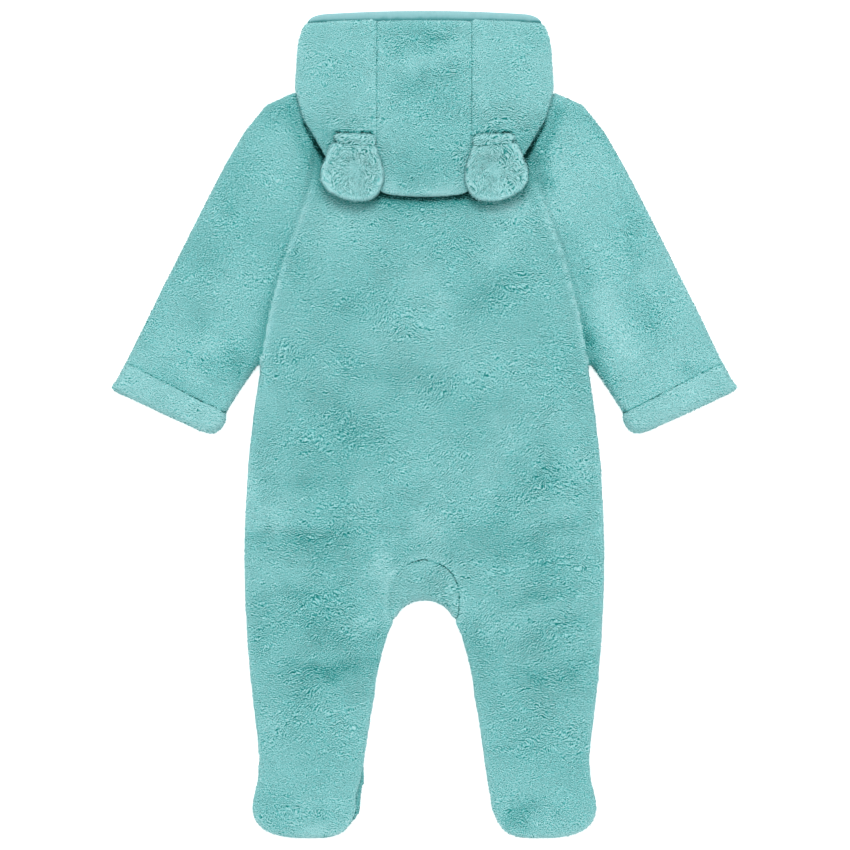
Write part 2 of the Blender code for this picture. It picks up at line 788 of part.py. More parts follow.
def build_hood_edge(jersey):
    """Smooth roll of jersey along the hood's opening, tapering at its ends."""
    half_width = (EDGE_Y.high - EDGE_Y.low) / 2
    half_height = (EDGE_Z.high - EDGE_Z.low) / 2
    stations = []
    for k in range(EDGE_STATIONS + 1):
        along = 2 * k / EDGE_STATIONS - 1
        y = EDGE_Y.low + half_width - EDGE_SAG * along * along
        slim = max(EDGE_SLIMMEST, rounding(1 - abs(along), ROLL_TAPER))
        place = (EDGE_HALF_LENGTH * along, y, EDGE_Z.low + half_height)
        stations.append(Station(*place, half_width * slim, half_height * slim))
    build_roll("hood_edge", stations, jersey)


def ear_bottom(x, y):
    return hood_under(x, y) + HOOD_LAYER + 1.5 * LAYER_GAP


def build_ear(side, fabric):
    rows = []
    for section in EAR:
        width = section.outer - section.inner
        tight = min(1.0, width / EAR_FULL_WIDTH)
        steps = across(width, [step * tight for step in EAR_STEPS], 2)
        rows.append([(section.inner + step, section.y) for step in steps])
    border = closed_border(rows)
    half = EAR_THICKNESS / 2

    def top(x, y):
        distance = distance_to_line(x, y, border)
        dish = EAR_DISH * lift(max(0.0, distance - EAR_DISH_FROM), EAR_DISH_REACH)
        return ear_bottom(x, y) + half + half * rounding(distance, half) - dish

    def bottom(x, y):
        return ear_bottom(x, y) + half - half * rounding(distance_to_line(x, y, border), half)

    return finish(sheet_mesh(rows, top, bottom), "ear_" + side, fabric, side == "left")


def build_ear_base(side, fabric):
    """Rolled root of the ear, across the lower end of the hood's seam."""
    base = EAR_BASE
    stations = []
    for along in EAR_BASE_STATIONS:
        x = base.inner + (base.outer - base.inner) * along
        y = base.low + base.width / 2 + base.slope * (x - base.inner)
        slim = max(EAR_BASE_SLIMMEST, rounding(min(along, 1 - along), ROLL_TAPER))
        half_width, half_height = base.width / 2 * slim, base.height / 2 * slim
        stations.append(Station(x, y, ear_bottom(x, y) + base.height / 2, half_width, half_height))
    build_roll("ear_base_" + side, stations, fabric, side == "left")


def build_bar(name, bar, low_y, high_y, bevel, finish_material):
    """Flat bar along the zip, with bevelled edges."""
    bm = bmesh.new()
    bmesh.ops.create_cube(bm, size=1.0)
    size = Vector((2 * bar.half_width, high_y - low_y, bar.top - bar.bottom))
    centre = Vector((0, (low_y + high_y) / 2, (bar.bottom + bar.top) / 2))
    bmesh.ops.scale(bm, vec=size * MM, verts=bm.verts)
    bmesh.ops.translate(bm, vec=centre * MM, verts=bm.verts)
    if bevel:
        edges = bm.edges[:]
        bmesh.ops.bevel(bm, geom=edges, offset=bevel * MM, segments=1, profile=0.5, affect="EDGES")
    return finish(bm, name, finish_material)


def build_zip(tape, metal):
    """Closed zip between the fronts, its slider at the neck with a soft pull of folded tape."""
    build_bar("zip_tape", TAPE, ZIP_END_Y - TAPE_TAIL, ZIP_TOP_Y, 0, tape)
    build_bar("zip_chain", CHAIN, ZIP_END_Y + CHAIN_STOPS, ZIP_TOP_Y - 1, BAR_BEVEL, tape)
    slider_y = ZIP_TOP_Y - 2 - SLIDER_LENGTH
    build_bar("zip_slider", SLIDER, slider_y, slider_y + SLIDER_LENGTH, BAR_BEVEL, metal)
    pull_y = slider_y + SLIDER_LENGTH / 2
    build_bar("zip_pull", PULL, pull_y - PULL_LENGTH, pull_y, 0, tape)


def build_suit():
    clear_scene()
    plush = material("plush", AQUA, 0.95)
    soft_plush = material("ear_plush", PALE_AQUA, 0.95)
    jersey = material("jersey", JERSEY, 0.85)
    tape = material("zip_tape", ZIP_AQUA, 0.8)
    metal = material("zip_metal", NICKEL, 0.35, 1.0)
    build_back(plush)
    build_gusset(plush)
    build_hood(plush)
    build_hood_folds(plush)
    build_hood_edge(jersey)
    for side in ("left", "right"):
        build_front(side, plush)
        build_sleeve(side, plush)
        build_cuff(side, plush)
        build_ear(side, soft_plush)
        build_ear_base(side, soft_plush)
    build_zip(tape, metal)


build_suit()
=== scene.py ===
import math

import bmesh
import bpy
import numpy as np
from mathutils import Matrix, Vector
from mathutils.bvhtree import BVHTree
from mathutils.kdtree import KDTree


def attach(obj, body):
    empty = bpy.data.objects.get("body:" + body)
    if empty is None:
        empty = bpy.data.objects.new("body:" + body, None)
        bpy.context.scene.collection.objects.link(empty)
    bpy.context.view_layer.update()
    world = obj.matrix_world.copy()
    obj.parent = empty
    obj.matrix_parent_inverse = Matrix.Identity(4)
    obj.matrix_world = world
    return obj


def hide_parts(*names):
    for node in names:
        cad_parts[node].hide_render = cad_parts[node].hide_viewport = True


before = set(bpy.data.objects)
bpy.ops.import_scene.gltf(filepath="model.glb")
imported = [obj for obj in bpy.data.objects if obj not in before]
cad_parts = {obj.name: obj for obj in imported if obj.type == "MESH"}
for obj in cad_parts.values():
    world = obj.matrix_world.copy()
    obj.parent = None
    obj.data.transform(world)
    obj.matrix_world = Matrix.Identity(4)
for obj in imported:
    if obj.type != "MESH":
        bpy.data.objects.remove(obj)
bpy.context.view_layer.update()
print("frame loaded")

mm = 0.001


def deselectAll():
    if bpy.context.mode != "OBJECT":
        bpy.ops.object.mode_set(mode="OBJECT")
    bpy.ops.object.select_all(action="DESELECT")


def makeActive(obj):
    deselectAll()
    obj.select_set(True)
    bpy.context.view_layer.objects.active = obj


def applyModifiers(obj):
    makeActive(obj)
    for modifier in list(obj.modifiers):
        bpy.ops.object.modifier_apply(modifier=modifier.name)


def newObject(name, mesh):
    obj = bpy.data.objects.new(name, mesh)
    bpy.context.scene.collection.objects.link(obj)
    return obj


def copyNode(node, name):
    # a merged copy of a frame node's mesh, as its own object
    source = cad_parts[node]
    mesh = source.data.copy()
    mesh.transform(source.matrix_world)
    mesh.materials.clear()
    obj = newObject(name, mesh)
    bm = bmesh.new()
    bm.from_mesh(mesh)
    bmesh.ops.remove_doubles(bm, verts=bm.verts, dist=2e-5)
    bm.to_mesh(mesh)
    bm.free()
    if mesh.has_custom_normals:
        makeActive(obj)
        bpy.ops.mesh.customdata_custom_splitnormals_clear()
    return obj


def readVectors(items, field):
    found = np.empty(len(items) * 3, np.float32)
    items.foreach_get(field, found)
    return found.reshape(-1, 3).astype(np.float64)


def placesOf(mesh):
    return readVectors(mesh.vertices, "co")


def normalsOf(mesh):
    return readVectors(mesh.vertex_normals, "vector")


def setPlaces(mesh, places):
    mesh.vertices.foreach_set("co", places.astype(np.float32).ravel())
    mesh.update()


def spread(places, amount):
    # moves each place away from the middle line
    places[:, 0] += np.sign(places[:, 0]) * amount


def unit(vectors):
    return vectors / np.maximum(np.linalg.norm(vectors, axis=1, keepdims=True), 1e-12)


def smoothStep(value):
    share = np.clip(value, 0, 1)
    return share * share * (3 - 2 * share)


def bell(value):
    return np.exp(-(value**2))


def fade(value, start, end):
    # softly from 0 at start to 1 at end, in mm
    return smoothStep((value / mm - start) / (end - start))


def hump(value, middle, width):
    # 1 at the middle, falling off to both sides, in mm
    return bell((value / mm - middle) / width)


def spotOn(places, spot, size):
    # 1 at a spot, falling off all round, in mm
    return bell(np.linalg.norm((places[:, :2] / mm - spot) / size, axis=1))


def waveNoise(places, size, seed, count=26):
    # smooth uneven noise from about -1 to 1, as a sum of waves in many directions
    rng = np.random.default_rng(seed)
    total = np.zeros(len(places))
    for _ in range(count):
        direction = rng.normal(size=places.shape[1])
        direction /= np.linalg.norm(direction)
        length = size * rng.uniform(0.7, 1.6)
        total += np.sin(places @ direction * (2 * math.pi / length) + rng.uniform(0, 2 * math.pi))
    return np.clip(total / math.sqrt(count) * 0.9, -1.6, 1.6)


def distanceToPath(xy, path):
    # distance from each point to a path, the share of the way along it, and the side of it
    best = np.full(len(xy), np.inf)
    along = np.zeros(len(xy))
    side = np.zeros(len(xy))
    path = np.array(path, float)
    steps = np.linalg.norm(np.diff(path, axis=0), axis=1)
    gone = np.concatenate([[0], np.cumsum(steps)]) / steps.sum()
    for k in range(len(path) - 1):
        a, b = path[k], path[k + 1]
        ab = b - a
        t = np.clip((xy - a) @ ab / (ab @ ab), 0, 1)
        off = xy - (a + t[:, None] * ab)
        d = np.linalg.norm(off, axis=1)
        closer = d < best
        best[closer] = d[closer]
        along[closer] = (gone[k] + t * (gone[k + 1] - gone[k]))[closer]
        side[closer] = np.sign(ab[0] * off[:, 1] - ab[1] * off[:, 0])[closer]
    return best, along, side


def smoothPath(points, steps=6):
    # a soft curve through the points
    points = [np.array(p, float) for p in points]
    if len(points) < 3:
        return points
    ends = [2 * points[0] - points[1], *points, 2 * points[-1] - points[-2]]
    made = []
    for k in range(1, len(ends) - 2):
        p0, p1, p2, p3 = ends[k - 1 : k + 3]
        for s in range(steps):
            t = s / steps
            made.append(
                0.5 * (2 * p1 + (p2 - p0) * t + (2 * p0 - 5 * p1 + 4 * p2 - p3) * t**2
                       + (3 * p1 - p0 - 3 * p2 + p3) * t**3)
            )
    return [*made, points[-1]]


def pressFolds(mesh, folds):
    # soft uneven troughs, each with a low ridge beside it
    places, normals = placesOf(mesh), normalsOf(mesh)
    facing = smoothStep(normals[:, 2] / 0.5)
    push = np.zeros(len(places))
    for n, (path, depth, width, ridge) in enumerate(folds):
        path = smoothPath([(x * mm, y * mm) for x, y in path])
        distance, along, side = distanceToPath(places[:, :2], path)
        fromEnd = np.minimum(along, 1 - along)
        uneven = 0.75 + 0.3 * waveNoise(places, 0.045, 300 + n)
        taper = smoothStep(fromEnd / 0.3)
        width = width * mm * (0.8 + 0.3 * smoothStep(fromEnd / 0.4))
        push -= depth * mm * bell(distance / width) * taper * uneven
        beside = bell((distance - 2.0 * width) / (1.5 * width)) * (side > 0)
        push += ridge * mm * beside * taper * uneven
    setPlaces(mesh, places + normals * (push * facing)[:, None])


def unevenCloth(mesh, amount, size, seed):
    # the cloth never lies quite flat
    places, normals = placesOf(mesh), normalsOf(mesh)
    push = waveNoise(places, size, seed) * amount * smoothStep(normals[:, 2] / 0.5)
    setPlaces(mesh, places + normals * push[:, None])


def treeOfNode(node):
    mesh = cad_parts[node].data
    mesh.calc_loop_triangles()
    corners = [v.co.copy() for v in mesh.vertices]
    return BVHTree.FromPolygons(corners, [tuple(t.vertices) for t in mesh.loop_triangles])


def remeshed(obj, voxel, smoothing):
    modifier = obj.modifiers.new("remesh", "REMESH")
    modifier.mode = "VOXEL"
    modifier.voxel_size = voxel
    modifier.adaptivity = 0.0
    smooth = obj.modifiers.new("smooth", "SMOOTH")
    smooth.factor = 0.5
    smooth.iterations = smoothing
    applyModifiers(obj)


def joined(name, parts):
    deselectAll()
    for part in parts:
        part.select_set(True)
    bpy.context.view_layer.objects.active = parts[0]
    bpy.ops.object.join()
    parts[0].name = parts[0].data.name = name
    return parts[0]


def joinedSkin(name, parts, voxel, smoothing):
    # the parts as one skin, with the seams between them closed
    skin = joined(name, parts)
    remeshed(skin, voxel, smoothing)
    makeActive(skin)
    bpy.ops.object.mode_set(mode="EDIT")
    bpy.ops.mesh.separate(type="LOOSE")
    bpy.ops.object.mode_set(mode="OBJECT")
    pieces = sorted(bpy.context.selected_objects, key=lambda piece: len(piece.data.vertices))
    for inner in pieces[:-1]:
        bpy.data.objects.remove(inner)
    return pieces[-1]


def nodeDistances(places, nodes, reach=14 * mm):
    # distance from each place to each node's solid, found only near its box
    made = np.full((len(places), len(nodes)), 1.0)
    for column, node in enumerate(nodes):
        tree = treeOfNode(node)
        corners = placesOf(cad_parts[node].data)
        near = ((places > corners.min(0) - reach) & (places < corners.max(0) + reach)).all(1)
        for k in np.nonzero(near)[0]:
            made[k, column] = tree.find_nearest(places[k])[3]
    return made


def setNumbers(mesh, name, values):
    layer = mesh.attributes.get(name) or mesh.attributes.new(name, "FLOAT", "POINT")
    layer.data.foreach_set("value", np.asarray(values, np.float32))


def numbersOf(mesh, name):
    found = np.empty(len(mesh.vertices), np.float32)
    mesh.attributes[name].data.foreach_get("value", found)
    return found.astype(np.float64)


def addToneAndShade(mesh, amount):
    # paler where the amount is above zero; used for the cloth's own tone and also for painted shade and
    # painted highlights
    setNumbers(mesh, "tone", numbersOf(mesh, "tone") + amount)


def setFlow(mesh, vectors):
    # the place that the pile's pattern is read at, in metres
    name = "flowPlace"
    layer = mesh.attributes.get(name) or mesh.attributes.new(name, "FLOAT_VECTOR", "POINT")
    layer.data.foreach_set("vector", vectors.astype(np.float32).ravel())


def flowOf(mesh):
    return readVectors(mesh.attributes["flowPlace"].data, "vector")


def settleSeams(skin, distances, seams, reach, rounds):
    # lifts the cloth at each seam nearly level with the cloth on either side
    mesh = skin.data
    weight = np.zeros(len(mesh.vertices))
    for first, second, share in seams:
        gap = np.maximum(distances[:, first], distances[:, second])
        weight = np.maximum(weight, share * (1 - smoothStep(gap / (reach * mm))))
    group = skin.vertex_groups.new(name="seams")
    for k in np.nonzero(weight > 0.01)[0]:
        group.add([int(k)], float(weight[k]), "REPLACE")
    smooth = skin.modifiers.new("settle", "SMOOTH")
    smooth.factor = 0.6
    smooth.iterations = rounds
    smooth.vertex_group = "seams"
    applyModifiers(skin)
    skin.vertex_groups.clear()


underside = {
    "upright": 0.45,  # a place whose normal rises less than this is on the rim
    "down": -0.5,  # a face whose normal drops more than this is under the piece
    "hem": 8,  # mm inside the rim that are kept of a trimmed underside
}


def rimDistances(mesh):
    # how far each vertex is from the nearest side of its piece, in mm
    places, normals = placesOf(mesh), normalsOf(mesh)
    rim = np.nonzero(np.abs(normals[:, 2]) < underside["upright"])[0]
    tree = KDTree(len(rim))
    for k, index in enumerate(rim):
        tree.insert(places[index], k)
    tree.balance()
    return np.array([tree.find(place)[2] for place in places.tolist()]) / mm


def splitSkin(skin, names, distances, trimmed, opening=None):
    # each piece keeps the faces nearest to its own solid, and the normals of the whole skin
    mesh = skin.data
    places, normals = placesOf(mesh), normalsOf(mesh)
    rim = rimDistances(mesh)
    corners = np.empty(len(mesh.loops), np.int32)
    mesh.loops.foreach_get("vertex_index", corners)
    corners = corners.reshape(-1, 4)
    owner = distances[corners].mean(1).argmin(1)
    a, b, c, d = (places[corners[:, k]] for k in range(4))
    faceNormal = unit(np.cross(c - a, d - b))
    middle = places[corners].mean(1)
    made = []
    for column, name in enumerate(names):
        chosen = owner == column
        if name in trimmed:
            under = faceNormal[:, 2] < underside["down"]
            chosen &= ~(under & (rim[corners].min(1) > underside["hem"]))
        if opening is not None:
            chosen &= ~opening(name, middle, faceNormal)
        quads = corners[chosen]
        used, compact = np.unique(quads, return_inverse=True)
        piece = bpy.data.meshes.new(name)
        piece.from_pydata(places[used].tolist(), [], compact.reshape(-1, 4).tolist())
        piece.shade_smooth()
        piece.normals_split_custom_set_from_vertices(normals[used].tolist())
        others = np.delete(distances[used], column, 1).min(1)
        setNumbers(piece, "seamEdge", np.clip((others - distances[used, column]) / mm, -4, 60))
        setNumbers(piece, "rimEdge", rim[used])
        made.append(newObject(name, piece))
    bpy.data.objects.remove(skin)
    return made


strokes = {
    "paler": 0.5,  # share of a stroke's own number
    "rougher": 0.8,
    "softer": 2,  # mm added to a stroke's half width
    "wander": 2.2,  # mm
    "wanderSize": 0.016,  # metres
}


def sweepNumbers(places, sweeps):
    # tone and ruffle from soft strokes of the hand over the pile; some strokes are painted shade or painted
    # light instead
    tone = np.zeros(len(places))
    ruffle = np.zeros(len(places))
    xy = places[:, :2]
    wander = np.stack([waveNoise(xy, strokes["wanderSize"], seed) for seed in (71, 72)], 1)
    blur = xy + strokes["wander"] * mm * wander
    for n, (path, width, deeper, rougher) in enumerate(sweeps):
        path = smoothPath([(x * mm, y * mm) for x, y in path])
        distance, along, _ = distanceToPath(blur, path)
        taper = 0.7 + 0.5 * smoothStep(np.minimum(along, 1 - along) / 0.3)
        here = bell(distance / ((width + strokes["softer"]) * mm)) * taper
        here *= 0.85 + 0.35 * waveNoise(blur, 0.03, 400 + n, 12)
        tone += strokes["paler"] * deeper * here
        ruffle += strokes["rougher"] * rougher * here
    return tone, ruffle


def hashed(cells, seed):
    # three even numbers from 0 to 1 for each whole-number cell
    x, y, z = (cells[..., k].astype(np.int64) for k in range(3))
    made = []
    for k in range(3):
        mixed = (x * 73856093) ^ (y * 19349663) ^ (z * 83492791) ^ ((seed * 7 + k) * 2654435761)
        mixed = (mixed ^ (mixed >> 13)) * 1274126177
        mixed = (mixed ^ (mixed >> 16)) & 0xFFFFFF
        made.append(mixed / float(0xFFFFFF))
    return np.stack(made, -1)


def nearestClump(places, spacing, seed):
    # the middle of the clump that each place belongs to, and that clump's own numbers
    cell = np.floor(places / spacing).astype(np.int64)
    best = np.full(len(places), np.inf)
    middle = np.zeros_like(places)
    owner = np.zeros_like(cell)
    for i in (-1, 0, 1):
        for j in (-1, 0, 1):
            for k in (-1, 0, 1):
                other = cell + np.array([i, j, k])
                spot = (other + 0.15 + 0.7 * hashed(other, seed)) * spacing
                d = ((spot - places) ** 2).sum(1)
                closer = d < best
                best[closer] = d[closer]
                middle[closer] = spot[closer]
                owner[closer] = other[closer]
    return middle, hashed(owner, seed + 50)


def blockersOf(objects):
    # one tree of all these pieces' faces, for finding what they hide
    corners, faces = [], []
    count = 0
    for obj in objects:
        mesh = obj.data
        mesh.calc_loop_triangles()
        corners += [v.co.copy() for v in mesh.vertices]
        faces += [tuple(count + v for v in t.vertices) for t in mesh.loop_triangles]
        count += len(mesh.vertices)
    return BVHTree.FromPolygons(corners, faces)


looking = {
    "start": 0.8,  # mm above the cloth
    "far": 0.3,  # metres
    "grazing": 0.02,  # a face is seen from a direction only if it leans this much towards it
    "aslant": ((1.6, 0, 1), (-1.6, 0, 1), (0, 1.6, 1), (0, -1.6, 1)),
    "level": ((1, 0, 0.12), (-1, 0, 0.12), (0, 1, 0.12), (0, -1, 0.12)),
}
lookDirections = [Vector(d).normalized() for d in ((0, 0, 1), *looking["aslant"], *looking["level"])]


def seenFaces(middles, normals, blockers):
    # which faces can be seen from above, aslant or level, past the other pieces
    seen = np.zeros(len(middles), bool)
    for k, (place, normal) in enumerate(zip(middles.tolist(), normals.tolist())):
        normal = Vector(normal)
        start = Vector(place) + normal * (looking["start"] * mm)
        for direction in lookDirections:
            if normal.dot(direction) <= looking["grazing"]:
                continue
            if blockers.ray_cast(start, direction, looking["far"])[0] is None:
                seen[k] = True
                break
    return seen


def alongCloth(vectors, n):
    # the part of each vector that lies in the cloth
    return vectors - n * (vectors * n).sum(1)[:, None]


def sowFibres(mesh, style, blockers, keep, rng):
    # each fibre's three vertices of the cloth, its shares of them, its root and the way up there
    mesh.calc_loop_triangles()
    tri = np.empty(len(mesh.loop_triangles) * 3, np.int32)
    mesh.loop_triangles.foreach_get("vertices", tri)
    tri = tri.reshape(-1, 3)
    places, normals = placesOf(mesh), normalsOf(mesh)
    a, b, c = (places[tri[:, k]] for k in range(3))
    cross = np.cross(b - a, c - a)
    area = np.linalg.norm(cross, axis=1) / 2
    faceNormal = cross / np.maximum(2 * area[:, None], 1e-15)
    middle = (a + b + c) / 3
    weight = area * smoothStep((faceNormal[:, 2] + 0.75) / 0.4)
    if keep is not None:
        weight = weight * keep(middle)
    if "seamEdge" in mesh.attributes:
        fromSeam = np.abs(numbersOf(mesh, "seamEdge"))[tri].mean(1)
        weight *= 0.1 + 0.9 * smoothStep(fromSeam / style["parted"])
    some = np.nonzero(weight > 0)[0]
    hidden = some[~seenFaces(middle[some], faceNormal[some], blockers)]
    weight[hidden] = 0
    count = min(int(weight.sum() / mm**2 * style["density"]), style["most"])
    total = np.cumsum(weight) / weight.sum()
    face = np.searchsorted(total, (np.arange(count) + rng.random(count)) / count).clip(0, len(tri) - 1)
    r1, r2 = np.sqrt(rng.random(count)), rng.random(count)
    shares = np.stack([1 - r1, r1 * (1 - r2), r1 * r2], 1)
    under = tri[face]
    root = (places[under] * shares[:, :, None]).sum(1)
    return under, shares, root, unit((normals[under] * shares[:, :, None]).sum(1))


def bendFibres(root, n, style, rng):
    # each fibre's four corners, the way that it faces, and its clump's own numbers
    count = len(root)
    turn = 0.4 * waveNoise(root, 0.07, style["seed"] + 1)
    turn += 0.4 * waveNoise(root, 0.015, style["seed"] + 2)
    turn += math.pi * (rng.random(count) < 0.5)
    nap = np.stack([np.cos(turn), np.sin(turn), np.zeros(count)], 1)
    nap = unit(alongCloth(nap, n))
    spacing = style["clump"] * mm
    centre, own = nearestClump(root, spacing, style["seed"])
    toward = alongCloth(centre - root, n)
    clumpWay = alongCloth(own - 0.5, n)
    length = style["length"] * mm * (0.65 + 0.7 * rng.random(count)) * (0.75 + 0.5 * own[:, 0])
    lean = style["lean"] * (0.8 + 0.4 * rng.random(count))
    rise = np.sqrt(np.maximum(0.05, 1 - lean**2))
    stray = rng.normal(size=(count, 3)) * style["stray"]
    reach = n * rise[:, None] + nap * lean[:, None] + clumpWay * style["clumpLean"] + stray
    tip = root + unit(reach) * length[:, None] + toward * style["pull"]
    along = unit(tip - root)
    side = unit(np.cross(along, n))
    lift = np.cross(side, along)
    roll = rng.normal(size=count) * style["roll"]
    side = side * np.cos(roll)[:, None] + lift * np.sin(roll)[:, None]
    half = style["width"] * mm * 0.5 * (0.7 + 0.6 * rng.random(count))
    waist = root + (tip - root) * 0.5 + n * (length * style["bow"])[:, None]
    start = root - n * (style["sunk"] * mm)
    left, right = waist - side * half[:, None], waist + side * half[:, None]
    corners = np.stack([start, right, tip, left], 1)
    corners[:, :, 2] = np.maximum(corners[:, :, 2], style["floorGap"] * mm)
    facing = unit(n + style["round"] * (-toward) / (0.5 * spacing) + rng.normal(size=(count, 3)) * 0.04)
    return corners, facing, own


def growPile(name, base, style, blockers, keep=None):
    # short plush fibres in clumps over a piece: each is a bent blade of two triangles
    rng = np.random.default_rng(style["seed"])
    mesh = base.data
    under, shares, root, n = sowFibres(mesh, style, blockers, keep, rng)
    corners, facing, own = bendFibres(root, n, style, rng)
    count = len(root)
    made = bpy.data.meshes.new(name)
    made.vertices.add(count * 4)
    made.vertices.foreach_set("co", corners.astype(np.float32).ravel())
    made.loops.add(count * 4)
    made.loops.foreach_set("vertex_index", np.arange(count * 4, dtype=np.int32))
    made.polygons.add(count)
    made.polygons.foreach_set("loop_start", np.arange(0, count * 4, 4, dtype=np.int32))
    made.update(calc_edges=True)
    made.shade_smooth()
    setNumbers(made, "pileTip", np.tile(np.array([0, 0.5, 1, 0.5]), count))
    setNumbers(made, "pileTint", np.repeat(0.15 * own[:, 1] + 0.85 * rng.random(count), 4))
    for number in ("tone", "ruffle"):
        carried = (numbersOf(mesh, number)[under] * shares).sum(1)
        setNumbers(made, number, np.repeat(carried, 4))
    if "flowPlace" in mesh.attributes:
        carried = (flowOf(mesh)[under] * shares[:, :, None]).sum(1)
        setFlow(made, (carried[:, None, :] + corners - root[:, None, :]).reshape(-1, 3))
    made.normals_split_custom_set(np.repeat(facing, 4, axis=0).tolist())
    # a place of its own on the map for each fibre
    across = int(math.ceil(math.sqrt(count)))
    column, row = np.arange(count) % across, np.arange(count) // across
    corner = np.array([[0.5, 0.12], [0.88, 0.5], [0.5, 0.88], [0.12, 0.5]])
    uv = (np.stack([column, row], 1)[:, None, :] + corner[None]) / across
    layer = made.uv_layers.new(name="OFBake")
    layer.uv.foreach_set("vector", uv.astype(np.float32).ravel())
    print("pile", name, count)
    return newObject(name, made)


def linear(*colour):
    # a colour of 0 to 255, as the shaders work with it
    made = [c / 255 for c in colour]
    return tuple(c / 12.92 if c <= 0.04045 else ((c + 0.055) / 1.055) ** 2.4 for c in made)


def link(tree, start, end):
    tree.links.new(start, end)


def newGroup(name, ins, outs):
    tree = bpy.data.node_groups.new(name, "ShaderNodeTree")
    for socket, kind, value in ins:
        made = tree.interface.new_socket(name=socket, in_out="INPUT", socket_type=kind)
        if value is not None:
            made.default_value = value
    for socket, kind in outs:
        tree.interface.new_socket(name=socket, in_out="OUTPUT", socket_type=kind)
    start = tree.nodes.new("NodeGroupInput")
    end = tree.nodes.new("NodeGroupOutput")
    return tree, start.outputs, end.inputs


def mathNode(tree, operation, first, second, third=None, clamp=False):
    node = tree.nodes.new("ShaderNodeMath")
    node.operation = operation
    node.use_clamp = clamp
    for k, value in enumerate((first, second, third)):
        if value is None:
            continue
        if isinstance(value, (int, float)):
            node.inputs[k].default_value = value
        else:
            link(tree, value, node.inputs[k])
    return node.outputs[0]


def noiseNode(tree, place, scale, detail):
    node = tree.nodes.new("ShaderNodeTexNoise")
    node.inputs["Scale"].default_value = scale
    node.inputs["Detail"].default_value = detail
    link(tree, place, node.inputs["Vector"])
    return node.outputs["Fac"]


def centredNoise(tree, place, scale, detail, amount):
    # noise about zero, times amount
    centred = mathNode(tree, "SUBTRACT", noiseNode(tree, place, scale, detail), 0.5)
    return mathNode(tree, "MULTIPLY", centred, amount)


def stretchedNoise(tree, place, turn, size, shift=0.0):
    # noise drawn out along a line turned about Z from X, moved shift metres across that line
    mapping = tree.nodes.new("ShaderNodeMapping")
    mapping.vector_type = "TEXTURE"
    mapping.inputs["Location"].default_value = (-shift * math.sin(turn), shift * math.cos(turn), 0.0)
    mapping.inputs["Rotation"].default_value = (0.0, 0.0, turn)
    mapping.inputs["Scale"].default_value = size
    link(tree, place, mapping.inputs["Vector"])
    return noiseNode(tree, mapping.outputs[0], 1.0, 0.0)


def reliefNode(tree, place, turn, size, step):
    # how much the pile there rises towards the hood, where the key light is, from about -0.4 to 0.4; size
    # and step in mm
    size = tuple(length * mm for length in size)
    here = stretchedNoise(tree, place, turn, size)
    return mathNode(tree, "SUBTRACT", here, stretchedNoise(tree, place, turn, size, step * mm))


def softStep(tree, value, low, high):
    # soft step from 0 at low to 1 at high
    node = tree.nodes.new("ShaderNodeMapRange")
    node.interpolation_type = "SMOOTHSTEP"
    node.inputs["From Min"].default_value = low
    node.inputs["From Max"].default_value = high
    link(tree, value, node.inputs["Value"])
    return node.outputs["Result"]


def rampNode(tree, value, stops):
    node = tree.nodes.new("ShaderNodeValToRGB")
    ramp = node.color_ramp
    while len(ramp.elements) < len(stops):
        ramp.elements.new(0.5)
    for element, (place, colour) in zip(ramp.elements, stops):
        element.position = place
        element.color = (*colour, 1.0)
    link(tree, value, node.inputs["Fac"])
    return node.outputs["Color"]


pilePattern = {
    "warps": ((24.0, 0.016), (150.0, 0.0045)),  # scale, and metres that the pattern is bent
    "patchScale": 16.0,
    "slantedScale": 34.0,  # of the patches where the curls lie slanted
    "ruffledScale": 50.0,  # of the patches that are ruffled more
    # the tufts: which way they lie in radians, their size in mm, and the mm that they rise over
    "grain": (-0.15, (1.25, 0.7, 5), 0.4),
    "crossed": (1.3, (1.1, 0.7, 5), 0.4),
    "across": (0.0, (2.1, 0.88, 5), 0.5),
    "slanted": (0.6, (1.7, 0.88, 5), 0.5),
    "crossedShare": 0.7,
    # litSlopeShare: how strong the painted highlight on the lit side is, beside the painted shade
    "litSlopeShare": 0.45,
    "deepest": 0.09,  # only a gap between pieces goes deeper
}


